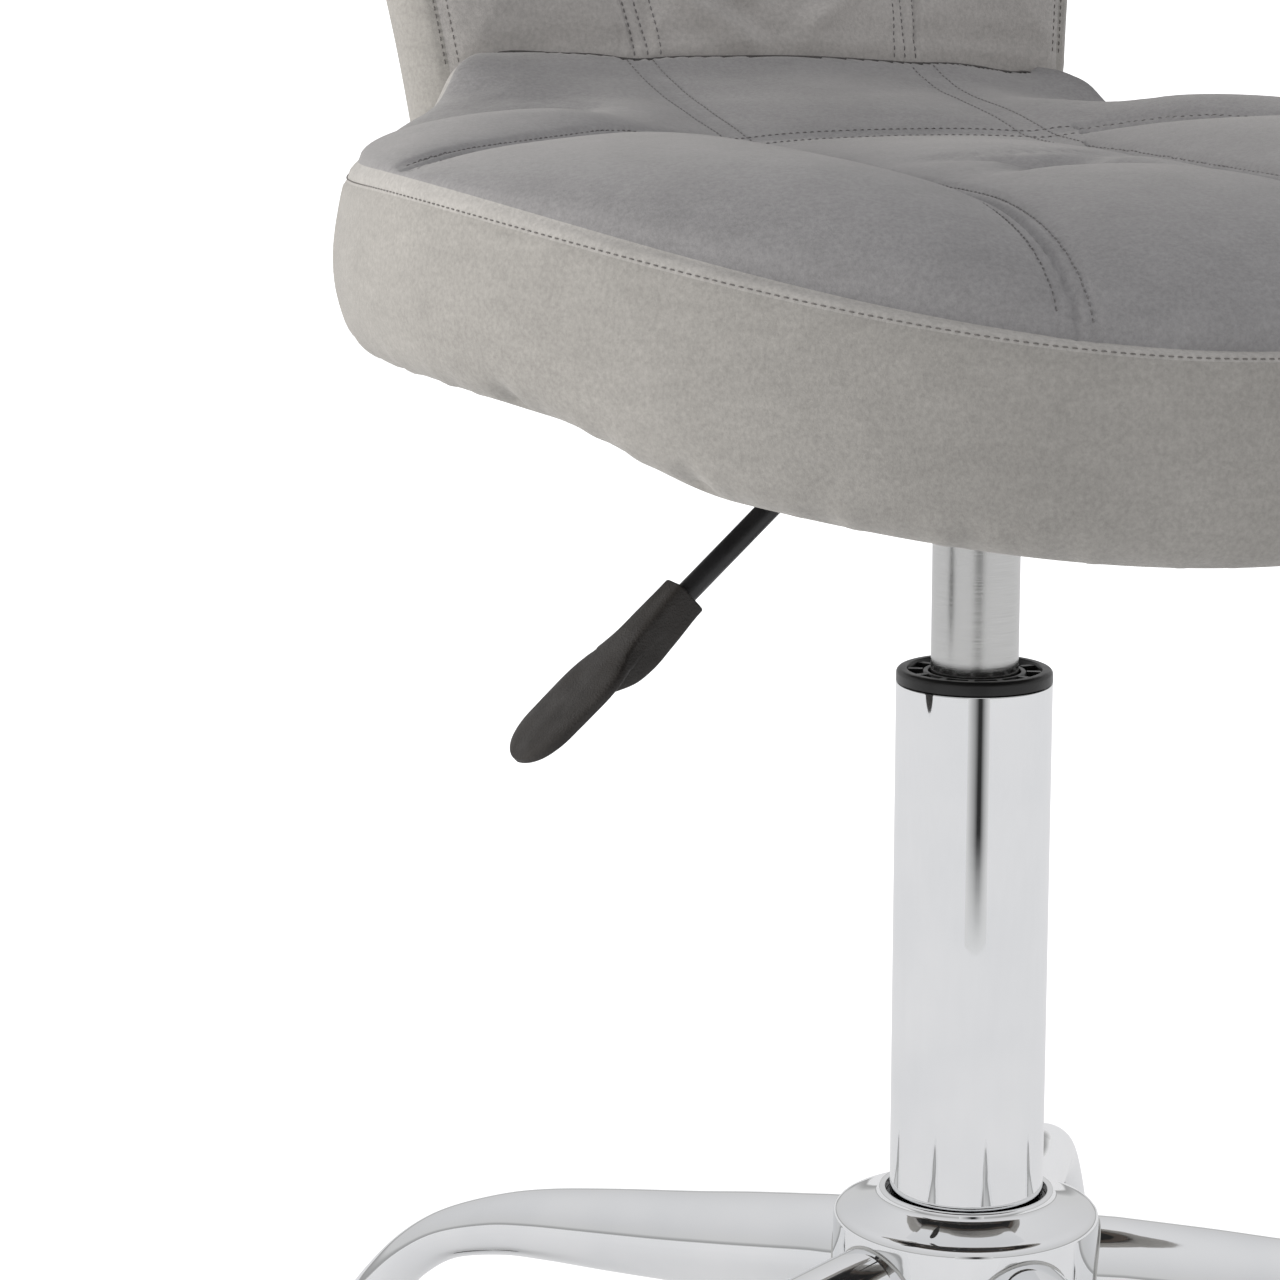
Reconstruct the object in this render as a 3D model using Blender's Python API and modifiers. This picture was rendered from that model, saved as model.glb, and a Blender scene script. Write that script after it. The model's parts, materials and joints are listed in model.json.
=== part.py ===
"""Low-backed swivel stool: upholstered bucket seat, gas-lift column, five-leg castor base.

The origin is on the floor on the column's axis. The stool faces -Y, +Z is up, and all
lengths are in metres.
"""
import math

import bmesh
import bpy
from mathutils import Matrix, Vector

# Driving dimensions ---------------------------------------------------------------------
GAP = 0.0003                # space left between pieces that touch
ROUND, SMALL_ROUND = 24, 16  # sides of large and small turned pieces

LEG_COUNT = 5
HUB_RADIUS = 0.0434
HUB_TOP, HUB_BOTTOM = 0.1915, 0.122
HUB_LIP_RADIUS = 0.0285
LEG_WALL = 0.0018
# Centreline of a leg as (distance from the column, height, tube radius)
LEG_STATIONS = (
    (0.034, 0.1636, 0.0175), (0.080, 0.1573, 0.0168), (0.1055, 0.1540, 0.0158),
    (0.137, 0.1506, 0.0143), (0.164, 0.1475, 0.0125), (0.184, 0.1437, 0.0107),
    (0.206, 0.1363, 0.0090), (0.222, 0.1258, 0.0086), (0.235, 0.1124, 0.0087),
    (0.247, 0.0973, 0.0088), (0.2545, 0.0893, 0.0088), (0.2598, 0.0833, 0.0088),
    (0.2621, 0.0780, 0.0088), (0.2625, 0.0740, 0.0088), (0.2625, 0.0650, 0.0088),
)

WHEEL_RADIUS, WHEEL_WIDTH = 0.025, 0.015
CASTOR_REACH = LEG_STATIONS[-1][0]
CASTOR_TRAIL = 0.018        # wheel axle behind the swivel axis
CASTOR_HEADING = math.pi / 2    # all trail to the rear, as after rolling forwards
WEB_HALF = 0.0085           # half the thickness of the castor's middle web
STEM_RADIUS = 0.0055
LEG_END = LEG_STATIONS[-1][1]

TUBE_RADIUS, TUBE_WALL = 0.025, 0.0015
TUBE_TOP, TUBE_BOTTOM = 0.360, 0.124
SLEEVE_BOTTOM = 0.262
COLLAR_TOP = 0.3645
CYLINDER_RADIUS, CYLINDER_WALL = 0.014, 0.0015
CYLINDER_TOP, CYLINDER_BOTTOM = 0.448, 0.215
TAPER_START, TAPER_TOP_RADIUS = 0.408, 0.0134
ROD_RADIUS = 0.005
VALVE_RADIUS = 0.003

LEVER_PIVOT_X, LEVER_HEIGHT = -0.018, 0.4585
LEVER_ROD_RADIUS = 0.0035
LEVER_SLOPE = math.radians(42)
LEVER_BEND_X = -0.0295
GRIP_START_X, GRIP_BORE = -0.100, 0.023
# The grip is a flat paddle on a square block; both are sections along the rod, as
# (distance from the top end, half width, height above the rod's axis, depth below it)
PADDLE_SECTIONS = (
    (0.0000, 0.0062, 0.0058, 0.0040), (0.0012, 0.0068, 0.0062, 0.0040),
    (0.0140, 0.0078, 0.0056, 0.0030), (0.0250, 0.0092, 0.0051, 0.0010),
    (0.0320, 0.0135, 0.0047, 0.0004), (0.0400, 0.0163, 0.0045, 0.0002),
    (0.0500, 0.0166, 0.0045, 0.0002), (0.0590, 0.0158, 0.0046, 0.0003),
    (0.0660, 0.0128, 0.0045, 0.0002), (0.0710, 0.0078, 0.0042, -0.0001),
    (0.0734, 0.0025, 0.0036, -0.0008),
)
BLOCK_SECTIONS = (
    (0.0000, 0.0062, 0.0058, 0.0058), (0.0012, 0.0068, 0.0062, 0.0062),
    (0.0140, 0.0076, 0.0054, 0.0068), (0.0250, 0.0080, 0.0048, 0.0072),
    (0.0340, 0.0078, 0.0040, 0.0058), (0.0430, 0.0060, 0.0030, 0.0010),
    (0.0470, 0.0040, 0.0025, -0.0004),
)
GRIP_SQUARENESS = 5         # power of the superellipse that each section is

HOUSING = (0.045, 0.030)    # half length and half width of the mechanism housing
HOUSING_BOTTOM, HOUSING_TOP = 0.4245, 0.4652
SLOT_BOTTOM, SLOT_TOP = 0.4375, 0.4595    # the lever's slot in the housing's end
SOCKET_RADIUS, SOCKET_BOTTOM, SOCKET_TOP = 0.0185, 0.4065, 0.444
SHEET = 0.003               # thickness of the pressed steel
PLATE_HALF, PLATE_BOTTOM = 0.080, 0.4655
BOLT_OFFSET, BOLT_RADIUS = 0.065, 0.003
BOARD_RADIUS, BOARD_BOTTOM, BOARD_TOP = 0.165, 0.469, 0.481

SEAT_RADIUS = 0.205
EDGE_FRONT, EDGE_SIDE, EDGE_REAR = 0.4861, 0.5225, 0.546
SKIRT_FRONT, SKIRT_SIDE, SKIRT_REAR = 0.4295, 0.4700, 0.4745
SKIRT_RISE = 0.0095         # part of the skirt's rise that comes where the front turns to the side
SEAT_CROWN = 0.531

CHORD_Y, CHORD_BOW, CHORD_HALF = 0.154, 0.014, 0.116   # line where the seat meets the back

# The back's layers are measured from the front face of its board
BACK_FOOT_Y, BACK_FOOT_Z = 0.1975, 0.547  # that face at the middle, level with the seat
BACK_CURVE = 0.45                         # plan radius of the board
BACK_HALF_WIDTH, BACK_FLARE, BACK_SPREAD = 0.118, 0.12, 0.75
BACK_HEIGHT = 0.260                       # along the slope, above the seat
LEAN_FOOT, LEAN_TOP = math.radians(12), math.radians(16)
LEAN_RUN = 0.075                          # the back turns upright this far below its foot
CORNER_DROP = 0.22
BACK_FOOT = -0.064                        # lowest edge of the pad and the board
PAD_EDGE, PAD_CROWN = 0.016, 0.006        # thickness of the pad at its sides, and more at the middle
PAD_FADE = 0.055                          # height over which the pad's thick foot thins out
BOARD_SHEET = 0.007
BRACKET_DEPTH, BRACKET_SHEET = 0.0105, 0.0024
COVER_DEPTH, COVER_SHEET, COVER_FOOT = 0.0131, 0.004, -0.080


# Scene helpers --------------------------------------------------------------------------
def clear_scene():
    for thing in list(bpy.data.objects):
        bpy.data.objects.remove(thing, do_unlink=True)


def collection(name):
    group = bpy.data.collections.new(name)
    bpy.context.scene.collection.children.link(group)
    return group


def material(name, colour, roughness, metallic=0.0):
    made = bpy.data.materials.new(name)
    made.use_nodes = True
    shader = made.node_tree.nodes["Principled BSDF"]
    shader.inputs["Base Color"].default_value = (*colour, 1.0)
    shader.inputs["Roughness"].default_value = roughness
    shader.inputs["Metallic"].default_value = metallic
    return made


clear_scene()
STOOL = collection("swivel_stool")
CUTTERS = collection("cutters")

CHROME = material("chrome", (0.86, 0.87, 0.88), 0.06, 1.0)
STEEL = material("brushed_steel", (0.62, 0.62, 0.61), 0.32, 1.0)
BLACK_STEEL = material("black_steel", (0.025, 0.025, 0.026), 0.45, 0.3)
BLACK_PLASTIC = material("black_plastic", (0.02, 0.02, 0.021), 0.42)
GRIP_PLASTIC = material("grip_plastic", (0.055, 0.05, 0.046), 0.6)
NYLON = material("nylon", (0.03, 0.03, 0.032), 0.4)
VELVET = material("velvet", (0.40, 0.39, 0.38), 0.9)
PLYWOOD = material("plywood", (0.55, 0.40, 0.24), 0.7)
DUST_FABRIC = material("dust_fabric", (0.03, 0.03, 0.03), 0.95)


def place(name, mesh, finish, parent=None, location=(0, 0, 0), turn_z=0.0):
    """Adds a mesh to the stool as one named piece."""
    piece = bpy.data.objects.new(name, mesh)
    if not mesh.materials:
        mesh.materials.append(finish)
    piece.parent = parent
    piece.location = location
    piece.rotation_euler = (0, 0, turn_z)
    STOOL.objects.link(piece)
    return piece


def empty(name, location, turn_z=0.0):
    marker = bpy.data.objects.new(name, None)
    marker.location = location
    marker.rotation_euler = (0, 0, turn_z)
    STOOL.objects.link(marker)
    return marker


def evaluated_mesh(source):
    """The object's mesh with its modifiers applied, welded; the object is removed."""
    bpy.context.view_layer.update()
    graph = bpy.context.evaluated_depsgraph_get()
    mesh = bpy.data.meshes.new_from_object(source.evaluated_get(graph))
    mesh.transform(source.matrix_world)
    cage = bmesh.new()
    cage.from_mesh(mesh)
    bmesh.ops.remove_doubles(cage, verts=cage.verts, dist=0.00001)
    cage.to_mesh(mesh)
    cage.free()
    bpy.data.objects.remove(source, do_unlink=True)
    return mesh


def smooth(mesh, angle=40):
    mesh.shade_smooth()
    mesh.set_sharp_from_angle(angle=math.radians(angle))


def turned_object(name, profile, sides, ring=True):
    """A profile of (radius, height) points turned about Z; a ring's profile is a loop."""
    cage = bmesh.new()
    points = [cage.verts.new((radius, 0, height)) for radius, height in profile]
    for start, end in zip(points, points[1:]):
        cage.edges.new((start, end))
    if ring:
        cage.edges.new((points[-1], points[0]))
    mesh = bpy.data.meshes.new(name)
    cage.to_mesh(mesh)
    cage.free()
    turned = bpy.data.objects.new(name, mesh)
    STOOL.objects.link(turned)
    screw = turned.modifiers.new("turn", "SCREW")
    screw.steps = screw.render_steps = sides
    screw.use_merge_vertices = True
    screw.merge_threshold = 0.00001
    screw.use_smooth_shade = True
    return turned


def turned_mesh(name, profile, sides, ring=True):
    mesh = evaluated_mesh(turned_object(name, profile, sides, ring))
    smooth(mesh)
    return mesh


def turned(name, profile, sides, finish, ring=True, parent=None):
    return place(name, turned_mesh(name, profile, sides, ring), finish, parent)


def guide(piece):
    """Makes a piece a cutter or a joining shape that is not part of the stool."""
    for group in list(piece.users_collection):
        group.objects.unlink(piece)
    CUTTERS.objects.link(piece)
    piece.hide_render = True
    piece.display_type = "WIRE"
    return piece


def cylinder_guide(name, radius, length, centre, along=(0, 0, 1), sides=ROUND):
    cage = bmesh.new()
    bmesh.ops.create_cone(cage, cap_ends=True, segments=sides, radius1=radius,
                          radius2=radius, depth=length)
    mesh = bpy.data.meshes.new(name)
    turn = Vector(along).to_track_quat("Z", "Y").to_matrix().to_4x4()
    bmesh.ops.transform(cage, matrix=Matrix.Translation(centre) @ turn, verts=cage.verts)
    cage.to_mesh(mesh)
    cage.free()
    return guide(place(name, mesh, BLACK_STEEL))


def box_mesh(name, low, high):
    low, high = Vector(low), Vector(high)
    cage = bmesh.new()
    bmesh.ops.create_cube(cage, size=1.0)
    scale = Matrix.Diagonal((*(high - low), 1.0))
    bmesh.ops.transform(cage, matrix=Matrix.Translation((low + high) / 2) @ scale,
                        verts=cage.verts)
    mesh = bpy.data.meshes.new(name)
    cage.to_mesh(mesh)
    cage.free()
    return mesh


def boolean(piece, other, operation="DIFFERENCE"):
    cut = piece.modifiers.new(operation.lower(), "BOOLEAN")
    cut.operation = operation
    cut.object = other
    cut.solver = "EXACT"


def smooth_path(stations, steps):
    """Catmull-Rom curve through the stations, with steps points between each two."""
    points = [Vector(station) for station in stations]
    padded = [2 * points[0] - points[1], *points, 2 * points[-1] - points[-2]]
    path = []
    for first, start, end, last in zip(padded, padded[1:], padded[2:], padded[3:]):
        for step in range(steps):
            t = step / steps
            path.append(0.5 * (2 * start + (end - first) * t
                               + (2 * first - 5 * start + 4 * end - last) * t ** 2
                               + (3 * start - first - 3 * end + last) * t ** 3))
    path.append(points[-1])
    return path


def rod_object(name, path, radii, sides_level, capped=True):
    """A round bar along a path, as a curve; radii holds one radius for each point."""
    curve = bpy.data.curves.new(name, "CURVE")
    curve.dimensions = "3D"
    curve.twist_mode = "MINIMUM"
    curve.bevel_depth = 1.0
    curve.bevel_resolution = sides_level
    curve.use_fill_caps = capped
    spline = curve.splines.new("POLY")
    spline.points.add(len(path) - 1)
    for point, place_at, radius in zip(spline.points, path, radii):
        point.co = (*place_at, 1.0)
        point.radius = radius
    bar = bpy.data.objects.new(name, curve)
    STOOL.objects.link(bar)
    return bar


# Base -----------------------------------------------------------------------------------
def leg_angle(number):
    """Angle of a leg about Z; leg 1 points to the front."""
    return math.radians(-90 + 360 / LEG_COUNT * (number - 1))


def make_hub():
    rim = 0.002
    turned("hub", [
        (TUBE_RADIUS + 0.0013, HUB_TOP), (HUB_LIP_RADIUS, HUB_TOP),
        (HUB_LIP_RADIUS + 0.0003, HUB_TOP - 0.0024), (0.0355, HUB_TOP - 0.0052),
        (HUB_RADIUS - 0.0010, HUB_TOP - 0.0074),
        (HUB_RADIUS, HUB_TOP - 0.0092), (HUB_RADIUS, HUB_BOTTOM + rim),
        (HUB_RADIUS - rim, HUB_BOTTOM), (TUBE_RADIUS + 0.0008, HUB_BOTTOM),
    ], ROUND + 4, CHROME)


def make_legs():
    """Tapered steel tubes, open at both ends, cut to fit round the hub."""
    path = smooth_path([(reach, 0, height) for reach, height, _ in LEG_STATIONS], 1)
    radii = [radius for _, _, radius in LEG_STATIONS]
    tube = evaluated_mesh(rod_object("leg", path, radii, 3, capped=False))
    shell = place("leg_shell", tube, CHROME)
    wall = shell.modifiers.new("wall", "SOLIDIFY")
    wall.thickness = LEG_WALL
    wall.offset = -1
    hub_space = cylinder_guide("hub_space", HUB_RADIUS + GAP, 0.12, (0, 0, 0.15), sides=48)
    boolean(shell, hub_space)
    leg = evaluated_mesh(shell)
    smooth(leg)
    for number in range(1, LEG_COUNT + 1):
        place(f"leg_{number}", leg, CHROME, turn_z=leg_angle(number))


def castor_hood():
    """Middle web with its stem boss, wheel cover and moulded axle, as one body."""
    axle = (CASTOR_TRAIL, 0, WHEEL_RADIUS)
    half_width = WEB_HALF + GAP + WHEEL_WIDTH + 0.001
    web = cylinder_guide("web", 0.0225, 2 * WEB_HALF, axle, (0, 1, 0), 16)
    cover = cylinder_guide("cover", 0.0300, 2 * half_width, axle, (0, 1, 0), 20)
    hollow = cylinder_guide("hollow", 0.0270, 4 * half_width, axle, (0, 1, 0), 20)
    open_side = guide(place("open_side", box_mesh("open_side", (-0.05, -0.05, -0.02),
                                                  (0.09, 0.05, 0.034)), NYLON))
    bridge = guide(place("bridge", box_mesh("bridge", (-0.004, -WEB_HALF, 0.030),
                                            (0.030, WEB_HALF, 0.0530)), NYLON))
    boss = cylinder_guide("boss", WEB_HALF - 0.0002, 0.024, (0, 0, 0.0460), sides=14)
    pin = cylinder_guide("pin", 0.004, 2 * half_width - 0.002, axle, (0, 1, 0), 10)
    stem_hole = cylinder_guide("stem_hole", STEM_RADIUS + GAP, 0.030, (0, 0, 0.0600),
                               sides=12)
    hood = place("hood", evaluated_mesh(cover), NYLON)
    boolean(hood, hollow)
    boolean(hood, open_side)
    for part in (web, bridge, boss, pin):
        boolean(hood, part, "UNION")
    boolean(hood, stem_hole)
    mesh = evaluated_mesh(hood)
    for part in (web, hollow, open_side, bridge, boss, pin, stem_hole):
        bpy.data.objects.remove(part, do_unlink=True)
    smooth(mesh)
    return mesh


def castor_wheel():
    """A wheel about Z, with its inner face at 0 and a rounded tread."""
    bore, rim = 0.004 + GAP, 0.003
    return turned_mesh("wheel", [
        (bore, WHEEL_WIDTH - 0.003), (0.017, WHEEL_WIDTH - 0.002),
        (WHEEL_RADIUS - rim, WHEEL_WIDTH), (WHEEL_RADIUS, WHEEL_WIDTH - rim),
        (WHEEL_RADIUS, 0.002), (WHEEL_RADIUS - 0.002, 0), (bore, 0),
    ], 20)


def make_castors():
    hood, wheel = castor_hood(), castor_wheel()
    stem = turned_mesh("stem", [
        (0, 0.0748), (0.0045, 0.0748), (STEM_RADIUS, 0.0738), (STEM_RADIUS, 0.0608),
        (0.0088, 0.0608), (0.0088, 0.0584), (STEM_RADIUS, 0.0584), (STEM_RADIUS, 0.0458),
        (0, 0.0458),
    ], 12, ring=False)
    socket = turned_mesh("socket", [
        (STEM_RADIUS + GAP, LEG_END + 0.0105), (0.0063, LEG_END + 0.0105),
        (0.0063, LEG_END - GAP), (0.0100, LEG_END - GAP), (0.0100, 0.0614),
        (STEM_RADIUS + GAP, 0.0614),
    ], 12)
    side = WEB_HALF + GAP
    for number in range(1, LEG_COUNT + 1):
        angle = leg_angle(number)
        spot = (CASTOR_REACH * math.cos(angle), CASTOR_REACH * math.sin(angle), 0)
        swivel = empty(f"castor_axis_{number}", spot, CASTOR_HEADING)
        place(f"castor_socket_{number}", socket, STEEL, swivel)
        place(f"castor_stem_{number}", stem, STEEL, swivel)
        place(f"castor_hood_{number}", hood, NYLON, swivel)
        for label, sign in (("left", 1), ("right", -1)):
            roller = place(f"castor_wheel_{label}_{number}", wheel, NYLON, swivel,
                           (CASTOR_TRAIL, sign * side, WHEEL_RADIUS))
            roller.rotation_euler = (-sign * math.pi / 2, 0, 0)


# Gas-lift column ------------------------------------------------------------------------
def make_column():
    inner = TUBE_RADIUS - TUBE_WALL
    turned("column_tube", [
        (inner, TUBE_TOP), (TUBE_RADIUS, TUBE_TOP), (TUBE_RADIUS, TUBE_BOTTOM),
        (inner, TUBE_BOTTOM),
    ], ROUND, CHROME)
    bore = CYLINDER_RADIUS + GAP
    turned("guide_sleeve", [
        (bore, TUBE_TOP), (inner - GAP, TUBE_TOP), (inner - GAP, SLEEVE_BOTTOM),
        (bore, SLEEVE_BOTTOM),
    ], ROUND, BLACK_PLASTIC)
    turned("column_collar", [
        (bore + GAP, COLLAR_TOP), (TUBE_RADIUS - 0.0014, COLLAR_TOP),
        (TUBE_RADIUS, COLLAR_TOP - 0.0012), (TUBE_RADIUS, TUBE_TOP + GAP),
        (bore + GAP, TUBE_TOP + GAP),
    ], ROUND, BLACK_PLASTIC)
    plate_low, plate_high = TUBE_BOTTOM + 0.002, TUBE_BOTTOM + 0.006
    turned("column_base_plate", [
        (ROD_RADIUS + 2 * GAP, plate_high), (inner - GAP, plate_high),
        (inner - GAP, plate_low), (ROD_RADIUS + 2 * GAP, plate_low),
    ], SMALL_ROUND, STEEL)
    bearing_top = plate_high + 0.0043
    turned("thrust_bearing", [
        (ROD_RADIUS + GAP, bearing_top), (0.012, bearing_top), (0.012, plate_high + GAP),
        (ROD_RADIUS + GAP, plate_high + GAP),
    ], SMALL_ROUND, STEEL)
    turned("retaining_clip", [
        (ROD_RADIUS + GAP, plate_low - GAP), (0.0095, plate_low - GAP),
        (0.0095, plate_low - 0.0025), (ROD_RADIUS + GAP, plate_low - 0.0025),
    ], SMALL_ROUND, STEEL)
    shoulder = bearing_top + GAP
    rod_top = 0.2995
    turned("piston_rod", [
        (0, rod_top), (ROD_RADIUS, rod_top), (ROD_RADIUS, shoulder + 0.004),
        (0.008, shoulder + 0.004), (0.008, shoulder), (ROD_RADIUS, shoulder),
        (ROD_RADIUS, TUBE_BOTTOM - 0.0015), (0, TUBE_BOTTOM - 0.0015),
    ], SMALL_ROUND, STEEL, ring=False)
    turned("piston", [
        (0, rod_top + 0.0125), (0.0120, rod_top + 0.0125), (0.0120, rod_top + GAP),
        (0, rod_top + GAP),
    ], SMALL_ROUND, BLACK_PLASTIC, ring=False)


def make_gas_cylinder():
    """The cylinder that carries the seat; its top is a taper with the valve's hole."""
    bore = CYLINDER_RADIUS - CYLINDER_WALL
    valve_hole = VALVE_RADIUS + GAP
    rod_hole = ROD_RADIUS + GAP
    turned("gas_cylinder", [
        (valve_hole, CYLINDER_TOP), (TAPER_TOP_RADIUS - 0.0006, CYLINDER_TOP),
        (TAPER_TOP_RADIUS, CYLINDER_TOP - 0.0008), (CYLINDER_RADIUS, TAPER_START),
        (CYLINDER_RADIUS, CYLINDER_BOTTOM + 0.001),
        (CYLINDER_RADIUS - 0.001, CYLINDER_BOTTOM), (rod_hole, CYLINDER_BOTTOM),
        (rod_hole, CYLINDER_BOTTOM + 0.010), (bore, CYLINDER_BOTTOM + 0.010),
        (bore, CYLINDER_TOP - 0.012), (valve_hole, CYLINDER_TOP - 0.012),
    ], ROUND, STEEL)
    valve_top = LEVER_HEIGHT - LEVER_ROD_RADIUS - GAP
    turned("valve_pin", [
        (0, valve_top), (VALVE_RADIUS - 0.0006, valve_top), (VALVE_RADIUS, valve_top - 0.0008),
        (VALVE_RADIUS, CYLINDER_TOP - 0.018), (0, CYLINDER_TOP - 0.018),
    ], 16, STEEL, ring=False)


# Seat mechanism -------------------------------------------------------------------------
def make_taper_socket():
    run = CYLINDER_TOP - 0.0008 - TAPER_START
    slope = (CYLINDER_RADIUS - TAPER_TOP_RADIUS) / run
    top_bore = CYLINDER_RADIUS - slope * (SOCKET_TOP - TAPER_START) + GAP
    turned("taper_socket", [
        (top_bore, SOCKET_TOP), (SOCKET_RADIUS, SOCKET_TOP),
        (SOCKET_RADIUS, SOCKET_BOTTOM + 0.002), (SOCKET_RADIUS - 0.001, SOCKET_BOTTOM),
        (CYLINDER_RADIUS + GAP, SOCKET_BOTTOM), (CYLINDER_RADIUS + GAP, TAPER_START),
    ], ROUND, BLACK_STEEL)


def make_housing():
    """Pressed steel tray, open at the top, with a slot for the lever in its -X end."""
    half_x, half_y = HOUSING
    mesh = box_mesh("mechanism_housing", (-half_x, -half_y, HOUSING_BOTTOM),
                    (half_x, half_y, HOUSING_TOP))
    cage = bmesh.new()
    cage.from_mesh(mesh)
    lid = [face for face in cage.faces if face.normal.z > 0.9]
    bmesh.ops.delete(cage, geom=lid, context="FACES_ONLY")
    cage.to_mesh(mesh)
    cage.free()
    tray = place("mechanism_housing", mesh, BLACK_STEEL)
    wall = tray.modifiers.new("wall", "SOLIDIFY")
    wall.thickness = SHEET
    wall.offset = -1
    wall.use_even_offset = True
    boolean(tray, cylinder_guide("socket_hole", SOCKET_RADIUS + GAP, 0.02, (0, 0, HOUSING_BOTTOM)))
    slot_half = LEVER_ROD_RADIUS + 0.0015
    slot = box_mesh("lever_slot", (-half_x - 0.01, -slot_half, SLOT_BOTTOM),
                    (-half_x + 0.01, slot_half, SLOT_TOP))
    boolean(tray, guide(place("lever_slot", slot, BLACK_STEEL)))


def make_plate_and_bolts():
    top = PLATE_BOTTOM + SHEET
    mesh = box_mesh("mounting_plate", (-PLATE_HALF, -PLATE_HALF, PLATE_BOTTOM),
                    (PLATE_HALF, PLATE_HALF, top))
    plate = place("mounting_plate", mesh, BLACK_STEEL)
    board = turned("seat_board", [
        (0, BOARD_TOP), (BOARD_RADIUS, BOARD_TOP), (BOARD_RADIUS, BOARD_BOTTOM),
        (0, BOARD_BOTTOM),
    ], ROUND + 8, PLYWOOD, ring=False)
    bolt = turned_mesh("bolt", [
        (0, 0.0145), (BOLT_RADIUS, 0.0145), (BOLT_RADIUS, 0), (0.0055, 0),
        (0.0055, -0.0030), (0.0042, -0.0042), (0, -0.0042),
    ], 12, ring=False)
    corners = [(x, y) for x in (-1, 1) for y in (-1, 1)]
    for number, (x, y) in enumerate(corners, start=1):
        spot = (x * BOLT_OFFSET, y * BOLT_OFFSET, PLATE_BOTTOM - GAP)
        hole = cylinder_guide(f"bolt_hole_{number}", BOLT_RADIUS + 0.0004, 0.06,
                              (*spot[:2], 0.47), sides=12)
        boolean(plate, hole)
        boolean(board, hole)
        place(f"mounting_bolt_{number}", bolt, STEEL, location=spot)


def make_dust_cover():
    turned("dust_cover", [
        (0.118, 0.4650), (0.150, 0.4650), (0.150, 0.4642), (0.118, 0.4642),
    ], ROUND, DUST_FABRIC)


# Lever ----------------------------------------------------------------------------------
def lever_line_z(x):
    """Height of the lever's sloping part at x."""
    return LEVER_HEIGHT + (x - LEVER_BEND_X) * math.tan(LEVER_SLOPE)


def make_lever():
    pivot = empty("lever_axis", (LEVER_PIVOT_X, 0, LEVER_HEIGHT))
    bend = 0.0055
    bend_end = LEVER_BEND_X - bend * math.cos(LEVER_SLOPE)
    rod_end = GRIP_START_X - (GRIP_BORE - 0.001) * math.cos(LEVER_SLOPE)
    corner_x = LEVER_BEND_X + 0.3 * (bend - bend * math.cos(LEVER_SLOPE))
    stations = [(0.010, LEVER_HEIGHT), (LEVER_BEND_X + bend, LEVER_HEIGHT),
                (corner_x, LEVER_HEIGHT - 0.0010), (bend_end, lever_line_z(bend_end)),
                (rod_end, lever_line_z(rod_end))]
    path = [Vector((x - LEVER_PIVOT_X, 0, z - LEVER_HEIGHT)) for x, z in stations]
    bar = place("bar", evaluated_mesh(rod_object(
        "lever_rod", path, [LEVER_ROD_RADIUS] * len(path), 3)), BLACK_STEEL)
    eye = cylinder_guide("eye", 0.006, 0.012, (0, 0, 0), (0, 1, 0), 20)
    bore = cylinder_guide("eye_bore", 0.0028, 0.05, (0, 0, 0), (0, 1, 0), 16)
    boolean(bar, eye, "UNION")
    boolean(bar, bore)
    rod = evaluated_mesh(bar)
    smooth(rod)
    place("lever_rod", rod, BLACK_STEEL, pivot)
    for shape in (eye, bore):
        bpy.data.objects.remove(shape, do_unlink=True)
    pin = cylinder_guide("pin", 0.0025, 2 * (HOUSING[1] - SHEET - GAP),
                         (0, 0, 0), (0, 1, 0), 16)
    place("lever_pivot_pin", evaluated_mesh(pin), STEEL, pivot)
    make_grip(pivot)


def grip_section(sections, distance):
    """Half width, height and depth of one of the grip's two shapes at a distance."""
    distance = min(distance, sections[-1][0])
    for near, far in zip(sections, sections[1:]):
        if distance <= far[0]:
            share = (distance - near[0]) / (far[0] - near[0])
            return [a + (b - a) * share for a, b in zip(near[1:], far[1:])]


def grip_reach(section, middle, side, rise):
    """Distance from the middle height to a section's outline in one direction."""
    half_width, height, depth = section
    centre, half = (height - depth) / 2, (height + depth) / 2
    low, high = 0.0, 0.05
    for _ in range(40):
        reach = (low + high) / 2
        across = abs(side * reach / half_width) ** GRIP_SQUARENESS
        up = abs((middle + rise * reach - centre) / half) ** GRIP_SQUARENESS
        low, high = (reach, high) if across + up < 1 else (low, reach)
    return low


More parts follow.
